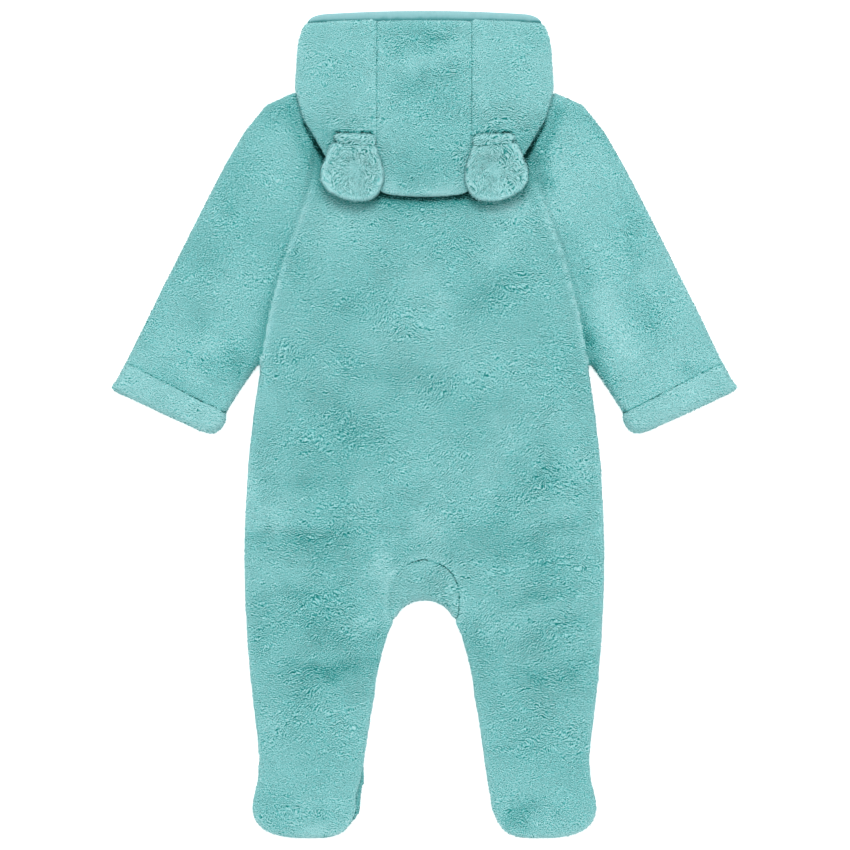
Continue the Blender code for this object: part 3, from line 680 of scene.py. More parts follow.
def makePileShade():
    # how deep or pale the plush is at a place: brushed patches, grain, and the little broken
    # crevices of ruffled pile, which run mostly across; the grain and crevices are painted light and
    # shade: paler where the pile rises towards the key light, darker where it falls away
    tree, start, end = newGroup(
        "pileShade",
        [
            ("Place", "NodeSocketVector", None),
            ("Tone", "NodeSocketFloat", 0.0),
            ("Ruffle", "NodeSocketFloat", 0.3),
            ("Seam", "NodeSocketFloat", 0.0),
            ("Patches", "NodeSocketFloat", 0.3),
            ("Grain", "NodeSocketFloat", 1.0),
            ("Crevices", "NodeSocketFloat", 1.0),
        ],
        [("Shade", "NodeSocketFloat"), ("Height", "NodeSocketFloat")],
    )
    place = start["Place"]
    bent = place
    for scale, amount in pilePattern["warps"]:
        warp = tree.nodes.new("ShaderNodeTexNoise")
        warp.inputs["Scale"].default_value = scale
        warp.inputs["Detail"].default_value = 0.0
        link(tree, place, warp.inputs["Vector"])
        moved = tree.nodes.new("ShaderNodeVectorMath")
        moved.operation = "MULTIPLY_ADD"
        moved.inputs[1].default_value = (amount, amount, 0.003)
        link(tree, warp.outputs["Color"], moved.inputs[0])
        link(tree, bent, moved.inputs[2])
        bent = moved.outputs[0]
    patches = centredNoise(tree, place, pilePattern["patchScale"], 0.0, 2.0)
    patches = mathNode(tree, "MULTIPLY", patches, start["Patches"])
    grain = reliefNode(tree, bent, *pilePattern["grain"])
    crossed = reliefNode(tree, bent, *pilePattern["crossed"])
    grain = mathNode(tree, "MULTIPLY_ADD", crossed, pilePattern["crossedShare"], grain)
    grain = mathNode(tree, "MULTIPLY", grain, start["Grain"])
    across = reliefNode(tree, bent, *pilePattern["across"])
    slanted = reliefNode(tree, bent, *pilePattern["slanted"])
    which = softStep(tree, noiseNode(tree, place, pilePattern["slantedScale"], 0.0), 0.48, 0.6)
    mixed = tree.nodes.new("ShaderNodeMix")
    link(tree, which, mixed.inputs[0])
    link(tree, across, mixed.inputs[2])
    link(tree, slanted, mixed.inputs[3])
    relief = mixed.outputs[0]
    # painted shade where the pile falls away from the key light, and a weaker painted highlight where it
    # rises towards it
    gap = softStep(tree, mathNode(tree, "MULTIPLY", relief, -1.0), 0.05, 0.2)
    litSlope = softStep(tree, relief, 0.03, 0.2)
    patchy = softStep(tree, noiseNode(tree, place, pilePattern["ruffledScale"], 0.0), 0.36, 0.62)
    amount = mathNode(tree, "MULTIPLY_ADD", patchy, 0.45, 0.55)
    amount = mathNode(tree, "MULTIPLY", amount, start["Ruffle"])
    amount = mathNode(tree, "MULTIPLY", amount, start["Crevices"])
    litSlope = mathNode(tree, "MULTIPLY", litSlope, pilePattern["litSlopeShare"])
    paintedShade = mathNode(tree, "SUBTRACT", gap, litSlope)
    crevice = mathNode(tree, "MULTIPLY", paintedShade, amount)
    level = mathNode(tree, "ADD", mathNode(tree, "SUBTRACT", start["Tone"], start["Seam"]), 0.5)
    shade = mathNode(tree, "ADD", mathNode(tree, "ADD", patches, grain), level)
    shade = mathNode(tree, "SUBTRACT", shade, crevice)
    deepest = mathNode(tree, "MINIMUM", level, pilePattern["deepest"])
    link(tree, mathNode(tree, "MAXIMUM", shade, deepest, clamp=True), end["Shade"])
    height = mathNode(tree, "SUBTRACT", mathNode(tree, "MULTIPLY", grain, 0.5), crevice)
    height = mathNode(tree, "SUBTRACT", height, mathNode(tree, "MULTIPLY", start["Seam"], 1.5))
    link(tree, height, end["Height"])
    return tree


pileShade = makePileShade()


def startFinish(name, roughness):
    made = bpy.data.materials.new(name)
    made.use_nodes = True
    tree = made.node_tree
    shader = tree.nodes["Principled BSDF"]
    shader.inputs["Roughness"].default_value = roughness
    place = tree.nodes.new("ShaderNodeTexCoord").outputs["Object"]
    return made, tree, shader, place


def attributeNode(tree, name):
    node = tree.nodes.new("ShaderNodeAttribute")
    node.attribute_name = name
    return node.outputs["Fac"]


def plushFinish(name, look, fibres):
    # the cloth, or the fibres on it, which are painted darker at the root as shade among the fibres, and
    # each a little different
    made, tree, shader, place = startFinish(name, 0.9)
    if look["ownFlow"]:
        flow = tree.nodes.new("ShaderNodeAttribute")
        flow.attribute_name = "flowPlace"
        place = flow.outputs["Vector"]
    pattern = tree.nodes.new("ShaderNodeGroup")
    pattern.node_tree = pileShade
    link(tree, place, pattern.inputs["Place"])
    link(tree, attributeNode(tree, "tone"), pattern.inputs["Tone"])
    link(tree, attributeNode(tree, "ruffle"), pattern.inputs["Ruffle"])
    pattern.inputs["Patches"].default_value = look["patches"]
    pattern.inputs["Crevices"].default_value = look["crevices"]
    pattern.inputs["Grain"].default_value = look["fibreGrain" if fibres else "grain"]
    shade = pattern.outputs["Shade"]
    if fibres:
        tint = mathNode(tree, "SUBTRACT", attributeNode(tree, "pileTint"), 0.5)
        tint = mathNode(tree, "MULTIPLY", tint, look["tint"])
        tip = mathNode(tree, "SUBTRACT", attributeNode(tree, "pileTip"), 1.0)
        tip = mathNode(tree, "MULTIPLY", tip, look["rootShade"])
        shade = mathNode(tree, "ADD", shade, mathNode(tree, "ADD", tint, tip), clamp=True)
    else:
        waver = centredNoise(tree, place, look["seamWaver"], 2.0, 2.0)
        apart = mathNode(tree, "ABSOLUTE", attributeNode(tree, "seamEdge"), None)
        apart = mathNode(tree, "ADD", apart, waver)
        line = mathNode(tree, "SUBTRACT", 1.0, softStep(tree, apart, 0.15, look["seamWide"]))
        broken = softStep(tree, noiseNode(tree, place, look["seamBroken"], 1.0), 0.34, 0.6)
        line = mathNode(tree, "MULTIPLY", line, mathNode(tree, "MULTIPLY_ADD", broken, 0.6, 0.4))
        link(tree, mathNode(tree, "MULTIPLY", line, attributeNode(tree, "seamDark")), pattern.inputs["Seam"])
        bump = tree.nodes.new("ShaderNodeBump")
        bump.inputs["Distance"].default_value = 0.001
        bump.inputs["Strength"].default_value = look["bump"]
        link(tree, pattern.outputs["Height"], bump.inputs["Height"])
        link(tree, bump.outputs["Normal"], shader.inputs["Normal"])
    link(tree, rampNode(tree, shade, look["stops"]), shader.inputs["Base Color"])
    shader.inputs["Sheen Weight"].default_value = look["sheen"]
    shader.inputs["Sheen Roughness"].default_value = 0.5
    shader.inputs["Sheen Tint"].default_value = (*linear(205, 238, 240), 1.0)
    shader.inputs["Specular IOR Level"].default_value = 0.1
    return made


plushLook = {
    "stops": [
        (0.0, linear(4, 60, 56)),
        (0.09, linear(34, 138, 134)),
        (0.25, linear(85, 180, 179)),
        (0.5, linear(133, 206, 206)),
        (0.75, linear(154, 214, 215)),
        (1.0, linear(180, 228, 229)),
    ],
    "patches": 0.16,
    "grain": 1.6,
    "fibreGrain": 1.25,
    "crevices": 0.8,
    "tint": 0.14,  # how much the fibres differ
    "rootShade": 0.05,  # how much painted shade darkens a fibre at its root
    "seamWide": 1.3,  # mm to either side
    "seamWaver": 340.0,  # how fine its wavy edge is
    "seamBroken": 170.0,  # how short its darker stretches are
    "ownFlow": False,
    "bump": 0.44,
    "sheen": 0.14,
}
earLook = {**plushLook, "ownFlow": True, "patches": 0.15, "crevices": 1.8, "fibreGrain": 1.5, "bump": 0.2}
groundPlush = plushFinish("plushGround", plushLook, False)
pilePlush = plushFinish("plushPile", plushLook, True)
groundEar = plushFinish("earGround", earLook, False)
pileEar = plushFinish("earPile", earLook, True)

pileStyle = {
    "density": 1.3,  # fibres in a square mm
    "length": 1.1,  # mm
    "width": 0.45,  # mm
    "sunk": 0.25,  # mm that the root stands in the cloth
    "floorGap": 0.05,  # mm
    "lean": 0.88,  # 0 stands up, 1 lies down
    "clump": 1.2,  # mm between clumps
    "pull": 0.25,  # how far the tips draw in to the middle of their clump
    "clumpLean": 0.4,  # how far a clump leans its own way
    "stray": 0.2,
    "round": 0.2,  # how round a clump is lit
    "roll": 0.5,
    "bow": 0.12,  # share of the length
    "parted": 1.3,  # mm to either side of a seam
    "most": 99000,  # fibres in a piece
}

cloth = {}  # the finished cloth pieces, by name


def finishPiece(obj, node, material):
    obj.data.materials.clear()
    obj.data.materials.append(material)
    if not obj.data.has_custom_normals:
        obj.data.shade_smooth()
    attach(obj, "root")
    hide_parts(node)
    cloth[obj.name] = obj


# Strokes of the hand over the pile, and some of painted shade and painted light: path and half width in mm,
# how much paler, how much more ruffled
# The dark strokes along the folds below are painted shade in their troughs; those at (26, 181), (-89, 200)
# and (93, 204) are painted shade beside the hood, and the pale one at (54, 173) is painted light over the
# right ear's cast shadow.
bodySweepsAndShading = [
    ([(-139, -91), (-112, -88), (-88, -91), (-60, -89)], 4.5, -0.42, 0.3),
    ([(-102, -100), (-85, -108), (-68, -104)], 13, -0.22, 0.4),
    ([(-124, -45), (-104, -48), (-84, -46)], 3.5, -0.2, 0.1),
    ([(-139, -142), (-112, -137), (-84, -138), (-62, -132)], 6, -0.22, 0.1),
    ([(-132, -155), (-130, -175), (-127, -197)], 8, -0.2, 0.0),
    ([(-100, -160), (-84, -168), (-70, -160)], 13, -0.25, 0.4),
    ([(-106, -194), (-85, -197), (-62, -195), (-43, -190)], 6, -0.42, 0.3),
    ([(-104, -206), (-90, -216)], 10, -0.22, 0.5),
    ([(-64, -173), (-38, -167)], 6, -0.22, 0.1),
    ([(-132, -118), (-98, -121)], 8, 0.14, -0.1),
    ([(-142, -66), (-124, -72), (-98, -70)], 9, 0.2, -0.1),
    ([(-56, -62), (-50, -40)], 11, 0.1, 0.0),
    ([(-66, 58), (-65, 0), (-64, -60), (-60, -114)], 4.5, -0.13, 0.1),
    ([(-110, 60), (-92, 52)], 8, -0.25, 0.4),
    ([(-72, 58), (-45, 42), (-10, 40), (14, 33)], 8, -0.16, 0.4),
    ([(-86, 28), (-62, 6), (-42, -17)], 9, -0.2, 0.4),
    ([(104, -28), (80, -58), (52, -84), (22, -103)], 13, -0.2, 0.3),
    ([(128, -76), (100, -84), (84, -94), (62, -102)], 7, -0.28, 0.4),
    ([(96, -106), (92, -130)], 9, -0.22, 0.5),
    ([(119, -131), (92, -136), (66, -143)], 4.5, -0.38, 0.2),
    ([(134, -153), (108, -163), (82, -176)], 8, -0.32, 0.5),
    ([(133, -187), (104, -205), (76, -200)], 5.5, -0.34, 0.4),
    ([(36, -164), (46, -180), (62, -176)], 8, -0.22, 0.3),
    ([(90, -170), (96, -215), (100, -252)], 16, -0.04, 0.6),
    ([(60, 2), (60, -25), (49, -47)], 8, 0.3, -0.1),
    ([(62, 154), (58, 138), (50, 132)], 9, 0.22, -0.1),
    ([(80, 128), (52, 106), (26, 85)], 9, -0.2, 0.2),
    ([(-105, 142), (-98, 118)], 7, -0.13, 0.2),
    ([(10, 102), (15, 97)], 5, 0.25, 0.0),
    ([(14, -78), (13, -87)], 6, 0.2, 0.0),
    ([(-22, 72), (-12, 34)], 11, 0.0, 0.5),
    ([(-30, 130), (20, 128)], 20, 0.06, -0.1),
    ([(-62, 104), (-58, 92)], 6, -0.14, 0.1),
    ([(104, 20), (92, -10)], 12, -0.08, 0.3),
    ([(-120, -262), (-80, -275), (-70, -300)], 22, 0.06, -0.2),
    ([(68, -316), (88, -303)], 6, -0.3, 0.1),
    ([(-86, -309), (-74, -314)], 6, -0.2, 0.1),
    ([(-128, -298), (-119, -303)], 6, -0.14, 0.1),
    ([(104, -308), (116, -313)], 6, -0.12, 0.1),
    ([(70, -318), (84, -305)], 7, -0.3, 0.2),
    ([(-16, 70), (14, 44)], 16, 0.0, 0.4),
    ([(-12, 22), (8, 2)], 9, 0.15, 0.0),
    ([(2, -70), (4, -94)], 10, 0.2, 0.0),
    ([(-30, -96), (-36, -140)], 9, 0.45, 0.0),
    ([(30, -104), (42, -116)], 7, 0.2, 0.1),
    ([(-52, -116), (-46, -134)], 7, 0.24, 0.0),
    ([(-124, -80), (-106, -84)], 6, 0.3, 0.0),
    ([(110, -70), (124, -74)], 6, 0.2, 0.0),
    ([(92, -8), (100, -14)], 9, -0.2, 0.1),
    ([(94, -32), (106, -42)], 9, -0.2, 0.1),
    ([(26, 181), (36, 183)], 3.5, -0.3, 0.0),
    ([(54, 173), (78, 172)], 5, 0.5, 0.0),
    ([(-4, -76), (6, -98)], 9, 0.24, 0.0),
    ([(-104, -300), (-94, -306)], 7, 0.16, 0.0),
    ([(-106, -322), (-76, -326)], 5, 0.3, 0.0),
    ([(-89, 200), (-87, 186)], 5, -0.3, 0.2),
    ([(93, 204), (91, 186)], 7, -0.6, 0.2),
    ([(18, -128), (30, -134)], 4, -0.1, 0.1),
    ([(-14, 130), (6, 112)], 12, 0.2, 0.0),
    ([(-44, 76), (-24, 64)], 9, 0.12, 0.0),
    ([(-34, -158), (-62, -162)], 7, 0.4, -0.1),
    ([(62, -20), (90, -60)], 15, -0.2, 0.1),
    ([(68, -96), (100, -108)], 8, -0.16, 0.1),
    ([(-112, 44), (-102, 28)], 10, -0.2, 0.1),
    ([(-46, 44), (-52, 34)], 8, -0.16, 0.0),
    ([(-142, -28), (-136, -88)], 6, 0.26, 0.0),
    ([(-136, -126), (-102, -146)], 7, 0.2, 0.0),
    ([(-84, -148), (-70, -172)], 8, -0.24, 0.1),
    ([(-88, -198), (-54, -214)], 9, -0.14, 0.1),
    ([(-126, -222), (-122, -250)], 8, 0.2, 0.0),
    ([(62, -142), (92, -170)], 9, -0.16, 0.1),
    ([(120, -20), (140, -46)], 8, 0.2, 0.0),
    ([(-84, -276), (-82, -288)], 10, -0.14, 0.0),
]
gussetSweeps = [
    ([(-12, -126), (12, -124)], 9, -0.2, 0.2),
    ([(2, -124), (18, -146)], 7, -0.2, 0.3),
    ([(-18, -122), (-22, -142)], 4, 0.16, -0.2),
]
# The dark strokes down beside the raglan seams, at x from about 112 to 150 and -146 to -150, are painted
# shade in the hollow there; those near the top at x about ±95 and ±108 to ±126 are painted shade beside the
# hood.
sleeveSweepsAndShading = [
    ([(-172, 134), (-178, 104), (-182, 76)], 9, -0.2, 0.2),
    ([(-154, 182), (-157, 166)], 6, -0.16, 0.1),
    ([(-122, 208), (-132, 172)], 14, 0.16, -0.1),
    ([(-108, 257), (-126, 246)], 8, -0.22, 0.1),
    ([(-170, 58), (-148, 44)], 5, -0.1, 0.0),
    ([(-206, 60), (-180, 62), (-150, 74)], 11, 0.24, -0.1),
    ([(-236, 56), (-222, 48)], 6, 0.24, 0.0),
    ([(-196, 44), (-176, 34)], 5, 0.36, 0.0),
    ([(150, 118), (162, 84)], 7, -0.1, 0.0),
    ([(-170, 146), (-158, 134)], 9, -0.12, 0.1),
    ([(130, 84), (137, 58), (146, 34)], 5, -0.5, 0.0),
    ([(204, 48), (226, 36)], 4.5, -0.3, 0.0),
    ([(95, 208), (99, 184)], 6, -0.5, 0.3),
    ([(-95, 200), (-97, 186)], 4, -0.2, 0.3),
    ([(127, 120), (135, 98)], 6, -0.2, 0.0),
    ([(140, 48), (150, 28)], 4, -0.5, 0.0),
    ([(-146, 60), (-150, 34)], 5, -0.2, 0.1),
    ([(128, 257), (154, 228)], 7, -0.24, 0.1),
    ([(164, 64), (168, 48)], 7, 0.26, 0.0),
    ([(174, 142), (180, 108)], 6, 0.2, 0.0),
    ([(-150, 90), (-172, 100)], 8, 0.05, 0.1),
    ([(164, 166), (171, 134)], 8, -0.28, 0.2),
    ([(174, 108), (188, 66)], 9, -0.16, 0.1),
    ([(146, 104), (160, 60)], 8, 0.24, -0.1),
    ([(112, 170), (122, 138), (134, 100)], 6, -0.14, 0.1),
    ([(108, 257), (126, 246)], 8, -0.2, 0.1),
    ([(130, 226), (152, 196)], 8, 0.12, 0.0),
    ([(194, 140), (216, 96)], 7, 0.1, 0.0),
]


def bothSides(path, width, paler, rougher):
    # a stroke on the left half and its mirror image on the right one
    return [([(side * x, y) for x, y in path], width, paler, rougher) for side in (-1, 1)]


# The pale strokes at (±36, 200) are painted light over the ears' cast shadows on the hood, and the pale one
# along the foot at y about 185 is a painted highlight on the hood's lower edge.
hoodSweepsAndShading = [
    ([(-26, 316), (-6, 312), (22, 306)], 10, -0.24, 0.1),
    ([(-88, 240), (-80, 230), (-74, 220)], 6, -0.36, 0.5),
    ([(89, 241), (82, 231), (76, 220)], 6, -0.4, 0.5),
    *bothSides([(62, 240), (46, 238)], 3, -0.15, 0.3),
    *bothSides([(36, 200), (30, 191)], 6, 0.5, 0.0),
    ([(-26, 187), (0, 184), (26, 187)], 3.5, 0.45, 0.0),
    ([(44, 262), (46, 250)], 7, 0.14, 0.0),
    ([(24, 315), (2, 305), (-20, 297)], 6, -0.3, 0.7),
    ([(30, 287), (4, 276), (-16, 268)], 6, -0.26, 0.7),
    ([(24, 304), (4, 290), (-22, 284)], 6, 0.1, -0.3),
    ([(-24, 312), (-28, 292)], 9, -0.1, 0.1),
    ([(-26, 200), (0, 206), (26, 200)], 12, -0.14, -0.1),
    ([(0, 250), (0, 222)], 24, -0.02, 0.0),
    *bothSides([(44, 300), (43, 262)], 3.5, 0.12, 0.2),
    *bothSides([(98, 297), (84, 282)], 4, 0.14, 0.0),
    ([(-96, 252), (-58, 242), (-34, 246)], 11, -0.03, 1.0),
    ([(-36, 226), (-30, 208), (-34, 192)], 6, -0.1, 0.8),
    ([(96, 252), (58, 242), (34, 246)], 11, -0.03, 1.0),
    ([(36, 226), (30, 208), (34, 192)], 6, -0.1, 0.8),
    *bothSides([(84, 306), (56, 300)], 10, 0.06, -0.2),
]
# troughs in the cloth: path in mm, depth, half width and the ridge beside it, all in mm
folds = [
    ([(-144, -92), (-112, -88), (-88, -91), (-58, -89)], 0.54, 4.5, 1.0),
    ([(-143, -45), (-104, -48), (-80, -46)], 0.36, 4.0, 0.7),
    ([(-141, -142), (-110, -138), (-66, -134)], 0.36, 5.0, 0.8),
    ([(-110, -193), (-85, -197), (-62, -195), (-36, -188)], 0.54, 5.0, 0.9),
    ([(138, -128), (92, -136), (62, -143)], 0.48, 4.5, 0.9),
    ([(140, -150), (108, -163), (78, -178)], 0.48, 6.0, 0.9),
    ([(140, -184), (104, -205), (70, -198)], 0.54, 5.0, 0.9),
    ([(134, -72), (100, -84), (60, -104)], 0.36, 6.0, 0.6),
    ([(-66, 50), (-65, -10), (-62, -104)], 0.18, 5.0, 0.3),
]


def paintPiece(mesh, sweeps, level, ruffle, rimHighlight, seamDark=0.0):
    # level: how pale the whole piece is; rimHighlight: how much painted highlight along its rim; seamDark: a
    # number, or a rule by place
    places = placesOf(mesh)
    tone, rougher = sweepNumbers(places, sweeps)
    rim = numbersOf(mesh, "rimEdge") if "rimEdge" in mesh.attributes else rimDistances(mesh)
    # painted highlight along the rim, where the pile rounds over
    tone += level + rimHighlight * bell(rim / 3.0)
    rough = np.clip(ruffle + rougher, 0.05, 1.3) * (0.35 + 0.65 * smoothStep(rim / 9.0))
    if "seamEdge" in mesh.attributes:
        dark = seamDark(places) if callable(seamDark) else np.full(len(places), seamDark)
        setNumbers(mesh, "seamDark", dark)
    setNumbers(mesh, "tone", tone)
    setNumbers(mesh, "ruffle", rough)


# Torso, legs, gusset, sleeves and cuffs, sewn together

body = {
    "nodes": ["back_panel", "crotch_gusset", "sleeve_left", "sleeve_right", "cuff_left", "cuff_right"],
    "names": ["backPanel", "crotchGusset", "sleeveLeft", "sleeveRight", "cuffLeft", "cuffRight"],
    "voxel": 0.0021,
    "smoothing": 2,
    # two nodes by number, and how far the seam between them settles
    "seams": [(0, 1, 0.8), (2, 4, 1.0), (3, 5, 1.0), (0, 2, 0.25), (0, 3, 0.25)],
    "handWay": (0.44, -0.9),  # which way a right sleeve points
    "slit": 1.6,  # mm, half the height of the opening at the hand
    "cuffSeam": [(237, 48.2), (157.5, 13.6)],  # mm, from its outer end to its inner
    "slant": 4.0,  # mm that the inner end of that seam is set down the arm
    "crotchCorner": (27, 159),  # mm across and down, where leg and gusset meet
    "cornerIn": 2.6,  # mm
    "handCorner": (248, 28),  # mm, the outer corner of the cuff
    "handOut": 1.9,  # mm
    "toe": (-312, -326),  # mm up the suit, between which the toes set in
    "toeDown": 1.8,  # mm
    "knee": (-200, -220),  # mm, between which the leg begins to be narrower inside
    "ankle": (-300, -280),  # mm, between which it ends
    "legOut": 1.5,  # mm
    "footIn": 1.9,  # mm, where the front shows past the left foot
    "footMiddle": -298,  # mm
    "frontTop": 6.2,  # mm above the floor, up to where the front reaches
    "armpit": 45,  # mm up the suit
    "forearm": 40,  # mm up the suit, below which a sleeve lies apart from the torso
    "armInside": 148,  # mm from the middle, the inner end of the cuff
    "sleeveOnly": 142,  # mm from the middle, past which a sleeve doesn't lie beside the torso
}
legInside = np.array([(27, -152), (33, -190), (44, -230), (52, -270), (55, -300)]) * mm


def overRight(places):
    # both halves laid over the right one, as places on the floor
    return np.stack([np.abs(places[:, 0]), places[:, 1]], 1)


def handOpening(name, middle, faceNormal):
    # the slit where the hand comes out, between the two layers of the cuff
    if not name.startswith("cuff"):
        return np.zeros(len(middle), bool)
    way = np.array(body["handWay"]) * np.array([-1 if name.endswith("Left") else 1, 1])
    ends = faceNormal[:, :2] @ way > 0.75
    height = (middle[ends][:, 2].min() + middle[ends][:, 2].max()) / 2
    return ends & (np.abs(middle[:, 2] - height) < body["slit"] * mm)


def cuffSlant(places):
    # how far the cuff's seam is set down the arm, more so towards the inside of the arm
    folded = overRight(places)
    away, along, _ = distanceToPath(folded, np.array(body["cuffSeam"]) * mm)
    onArm = folded[:, 0] > body["armInside"] * mm
    amount = body["slant"] * mm * along**1.3 * hump(away, 0, 11) * onArm
    across, down = body["handWay"]
    return np.stack([np.sign(places[:, 0]) * across * amount, down * amount, 0 * amount], 1)


def shapeBody(places):
    # what the outline of the sewn suit does beyond its flat pattern
    corner = spotOn(np.abs(places), body["crotchCorner"], 5) * (np.abs(places[:, 0]) > 15 * mm)
    spread(places, -body["cornerIn"] * mm * corner)
    spread(places, body["handOut"] * mm * spotOn(overRight(places), body["handCorner"], 6))
    places[:, 1] -= body["toeDown"] * mm * fade(places[:, 1], *body["toe"])
    off = distanceToPath(overRight(places), legInside)[0]
    shin = fade(places[:, 1], *body["knee"]) * fade(places[:, 1], *body["ankle"])
    spread(places, -body["legOut"] * mm * hump(off, 0, 7) * shin)
    foot = hump(places[:, 1], body["footMiddle"], 13) * hump(off, 0, 9)
    leftAndUp = (places[:, 0] < 0) & (places[:, 2] > body["frontTop"] * mm)
    places[:, 0] -= body["footIn"] * mm * foot * leftAndUp
    places[:, 2] = np.maximum(places[:, 2], 0.15 * mm)


parts = [copyNode(node, "part" + node) for node in body["nodes"]]
for part in parts[2:]:
    places = placesOf(part.data)
    setPlaces(part.data, places + cuffSlant(places))
skin = joinedSkin("bodySkin", parts, body["voxel"], body["smoothing"])
print("body skin", len(skin.data.vertices))
places = placesOf(skin.data)
distances = nodeDistances(places - cuffSlant(places), body["nodes"])
settleSeams(skin, distances, body["seams"], reach=4.0, rounds=5)
pressFolds(skin.data, folds)
unevenCloth(skin.data, amount=0.5 * mm, size=0.05, seed=5)
places = placesOf(skin.data)
shapeBody(places)
setPlaces(skin.data, places)
pieces = splitSkin(skin, body["names"], distances, ["backPanel"], handOpening)
print("body pieces")

# How each piece is brushed: how pale, how ruffled, and how much painted highlight along its rim
bodyPaint = {
    "backPanel": (0.04, 0.62, 0.17),
    "crotchGusset": (0.15, 1.0, 0.3),
    "sleeveLeft": (0.03, 0.3, 0.12),
    "sleeveRight": (0.15, 0.3, 0.12),
    "cuffLeft": (0.26, 0.55, 0.08),
    "cuffRight": (0.26, 0.55, 0.08),
    # places in mm up the suit, and how much paler the pile gets between them
    "besideSleeve": ((204, 174), 0.4),
    "leftFoot": ((-245, -285), 0.02),
    "rightFoot": ((-245, -285), 0.01),
    "toeRimHighlight": ((-305, -317), 0.18),
    "calmFeet": ((-235, -290), 0.8),  # how much less ruffled
    "besideGusset": 0.16,
    # dark tufts: place, size, both in mm, and how dark
    "toeTuft": ((-79.5, -330), (3.5, 1.4), 0.6),
    "cuffTuft": ((159, 8.5), (4, 2.5), 0.7),
    # the painted shade in the hollow beside a sleeve's seam, in mm up the suit
    "seamShadeDown": (230, 80),
    "upperArm": ((80, 140), (200, 180)),
}


def onSleeveOnly(places):
    return np.abs(places[:, 0]) >= body["sleeveOnly"] * mm


def gussetLine(places):
    # the gusset's seam shows darker along its top and down its right side
    return 0.08 + 1.1 * fade(places[:, 0], -17, -9)


def shoulderLine(places):
    # the sleeve's seam shows only at the shoulder
    return 0.3 * hump(places[:, 1], 190, 20)


def backLine(places):
    return np.where(places[:, 1] > body["armpit"] * mm, shoulderLine(places), gussetLine(places))


def cuffLine(places):
    # the cuff's seam shows darker towards the inside of the arm
    return 0.45 + 0.4 * fade(np.abs(places[:, 0]), 235, 165)


def nearCuff(places):
    return onSleeveOnly(places) | (places[:, 1] < body["forearm"] * mm)


def sleeveLine(places):
    return np.where(nearCuff(places), cuffLine(places), shoulderLine(places))


def brushBack(mesh):
    # painted highlight along the torso's edge beside the sleeves and along the rim of the toes; paler beside
    # the gusset and towards the feet, and calmer on the feet
    places = placesOf(mesh)
    edge, rim = numbersOf(mesh, "seamEdge"), numbersOf(mesh, "rimEdge")

    def between(name):
        heights, amount = bodyPaint[name]
        return amount * fade(places[:, 1], *heights)

    nearSleeve = places[:, 1] > body["armpit"] * mm
    uneven = 0.85 + 0.4 * waveNoise(places, 0.009, 44)
    tone = nearSleeve * between("besideSleeve") * bell((edge - 1) / 3) * uneven
    tone += ~nearSleeve * bodyPaint["besideGusset"] * bell((edge - 4) / 2)
    tone += np.where(places[:, 0] < 0, between("leftFoot"), between("rightFoot"))
    tone += between("toeRimHighlight") * bell(rim / 4)
    spot, size, dark = bodyPaint["toeTuft"]
    addToneAndShade(mesh, tone - dark * spotOn(places, spot, size))
    setNumbers(mesh, "ruffle", numbersOf(mesh, "ruffle") * (1 - between("calmFeet")))


def brushSleeve(mesh):
    # painted shade in a soft hollow beside the torso, painted light right at its seam on the upper arm over
    # the real shade of the seam's valley, and a thin painted shadow line and a dark tuft along the cuff
    places = placesOf(mesh)
    edge = np.maximum(numbersOf(mesh, "seamEdge"), 0)
    low = fade(places[:, 1], *bodyPaint["seamShadeDown"])
    up, down = bodyPaint["upperArm"]
    upper = fade(places[:, 1], *up) * fade(places[:, 1], *down)
    paintedShade = (0.04 + 0.28 * low * (1 - 0.6 * upper)) * bell(edge / (4 + 4 * low))
    tone = ~onSleeveOnly(places) * (0.3 * upper * bell(edge / 1.8) - paintedShade)
    spot, size, dark = bodyPaint["cuffTuft"]
    tuft = dark * spotOn(overRight(places), spot, size)
    addToneAndShade(mesh, tone - nearCuff(places) * (0.25 * bell(edge / 1.4) + tuft))


bodyStrokes = [bodySweepsAndShading, gussetSweeps, sleeveSweepsAndShading, sleeveSweepsAndShading, [], []]
bodyLines = [backLine, gussetLine, sleeveLine, sleeveLine, cuffLine, cuffLine]
for piece, node, sweeps, line in zip(pieces, body["nodes"], bodyStrokes, bodyLines):
    paintPiece(piece.data, sweeps, *bodyPaint[piece.name], line)
    if piece.name == "backPanel":
        brushBack(piece.data)
    if piece.name.startswith("sleeve"):
        brushSleeve(piece.data)
    finishPiece(piece, node, groundPlush)
print("body painted")

# Front panels, face down

fronts = {
    "voxel": 0.004,
    "smoothing": 4,
    "legIn": 3.0,  # mm that their legs are wider inside than they were cut
    "ankle": (-290, -260),  # mm, between which that ends
    "crotch": -140,  # mm
    "paint": (-0.12, 0.3, 0.0),
}
for side in ("left", "right"):
    panel = copyNode("front_" + side, "frontPanel" + side.title())
    remeshed(panel, fronts["voxel"], fronts["smoothing"])
    places = placesOf(panel.data)
    off = distanceToPath(overRight(places), legInside)[0]
    onLeg = fade(places[:, 1], *fronts["ankle"]) * (places[:, 1] < fronts["crotch"] * mm)
    inside = hump(off, 0, 9) * onLeg
    spread(places, fronts["legIn"] * mm * inside)
    setPlaces(panel.data, places)
    paintPiece(panel.data, [], *fronts["paint"])
    finishPiece(panel, "front_" + side, groundPlush)
print("front panels")

# Hood, folded flat over the shoulders

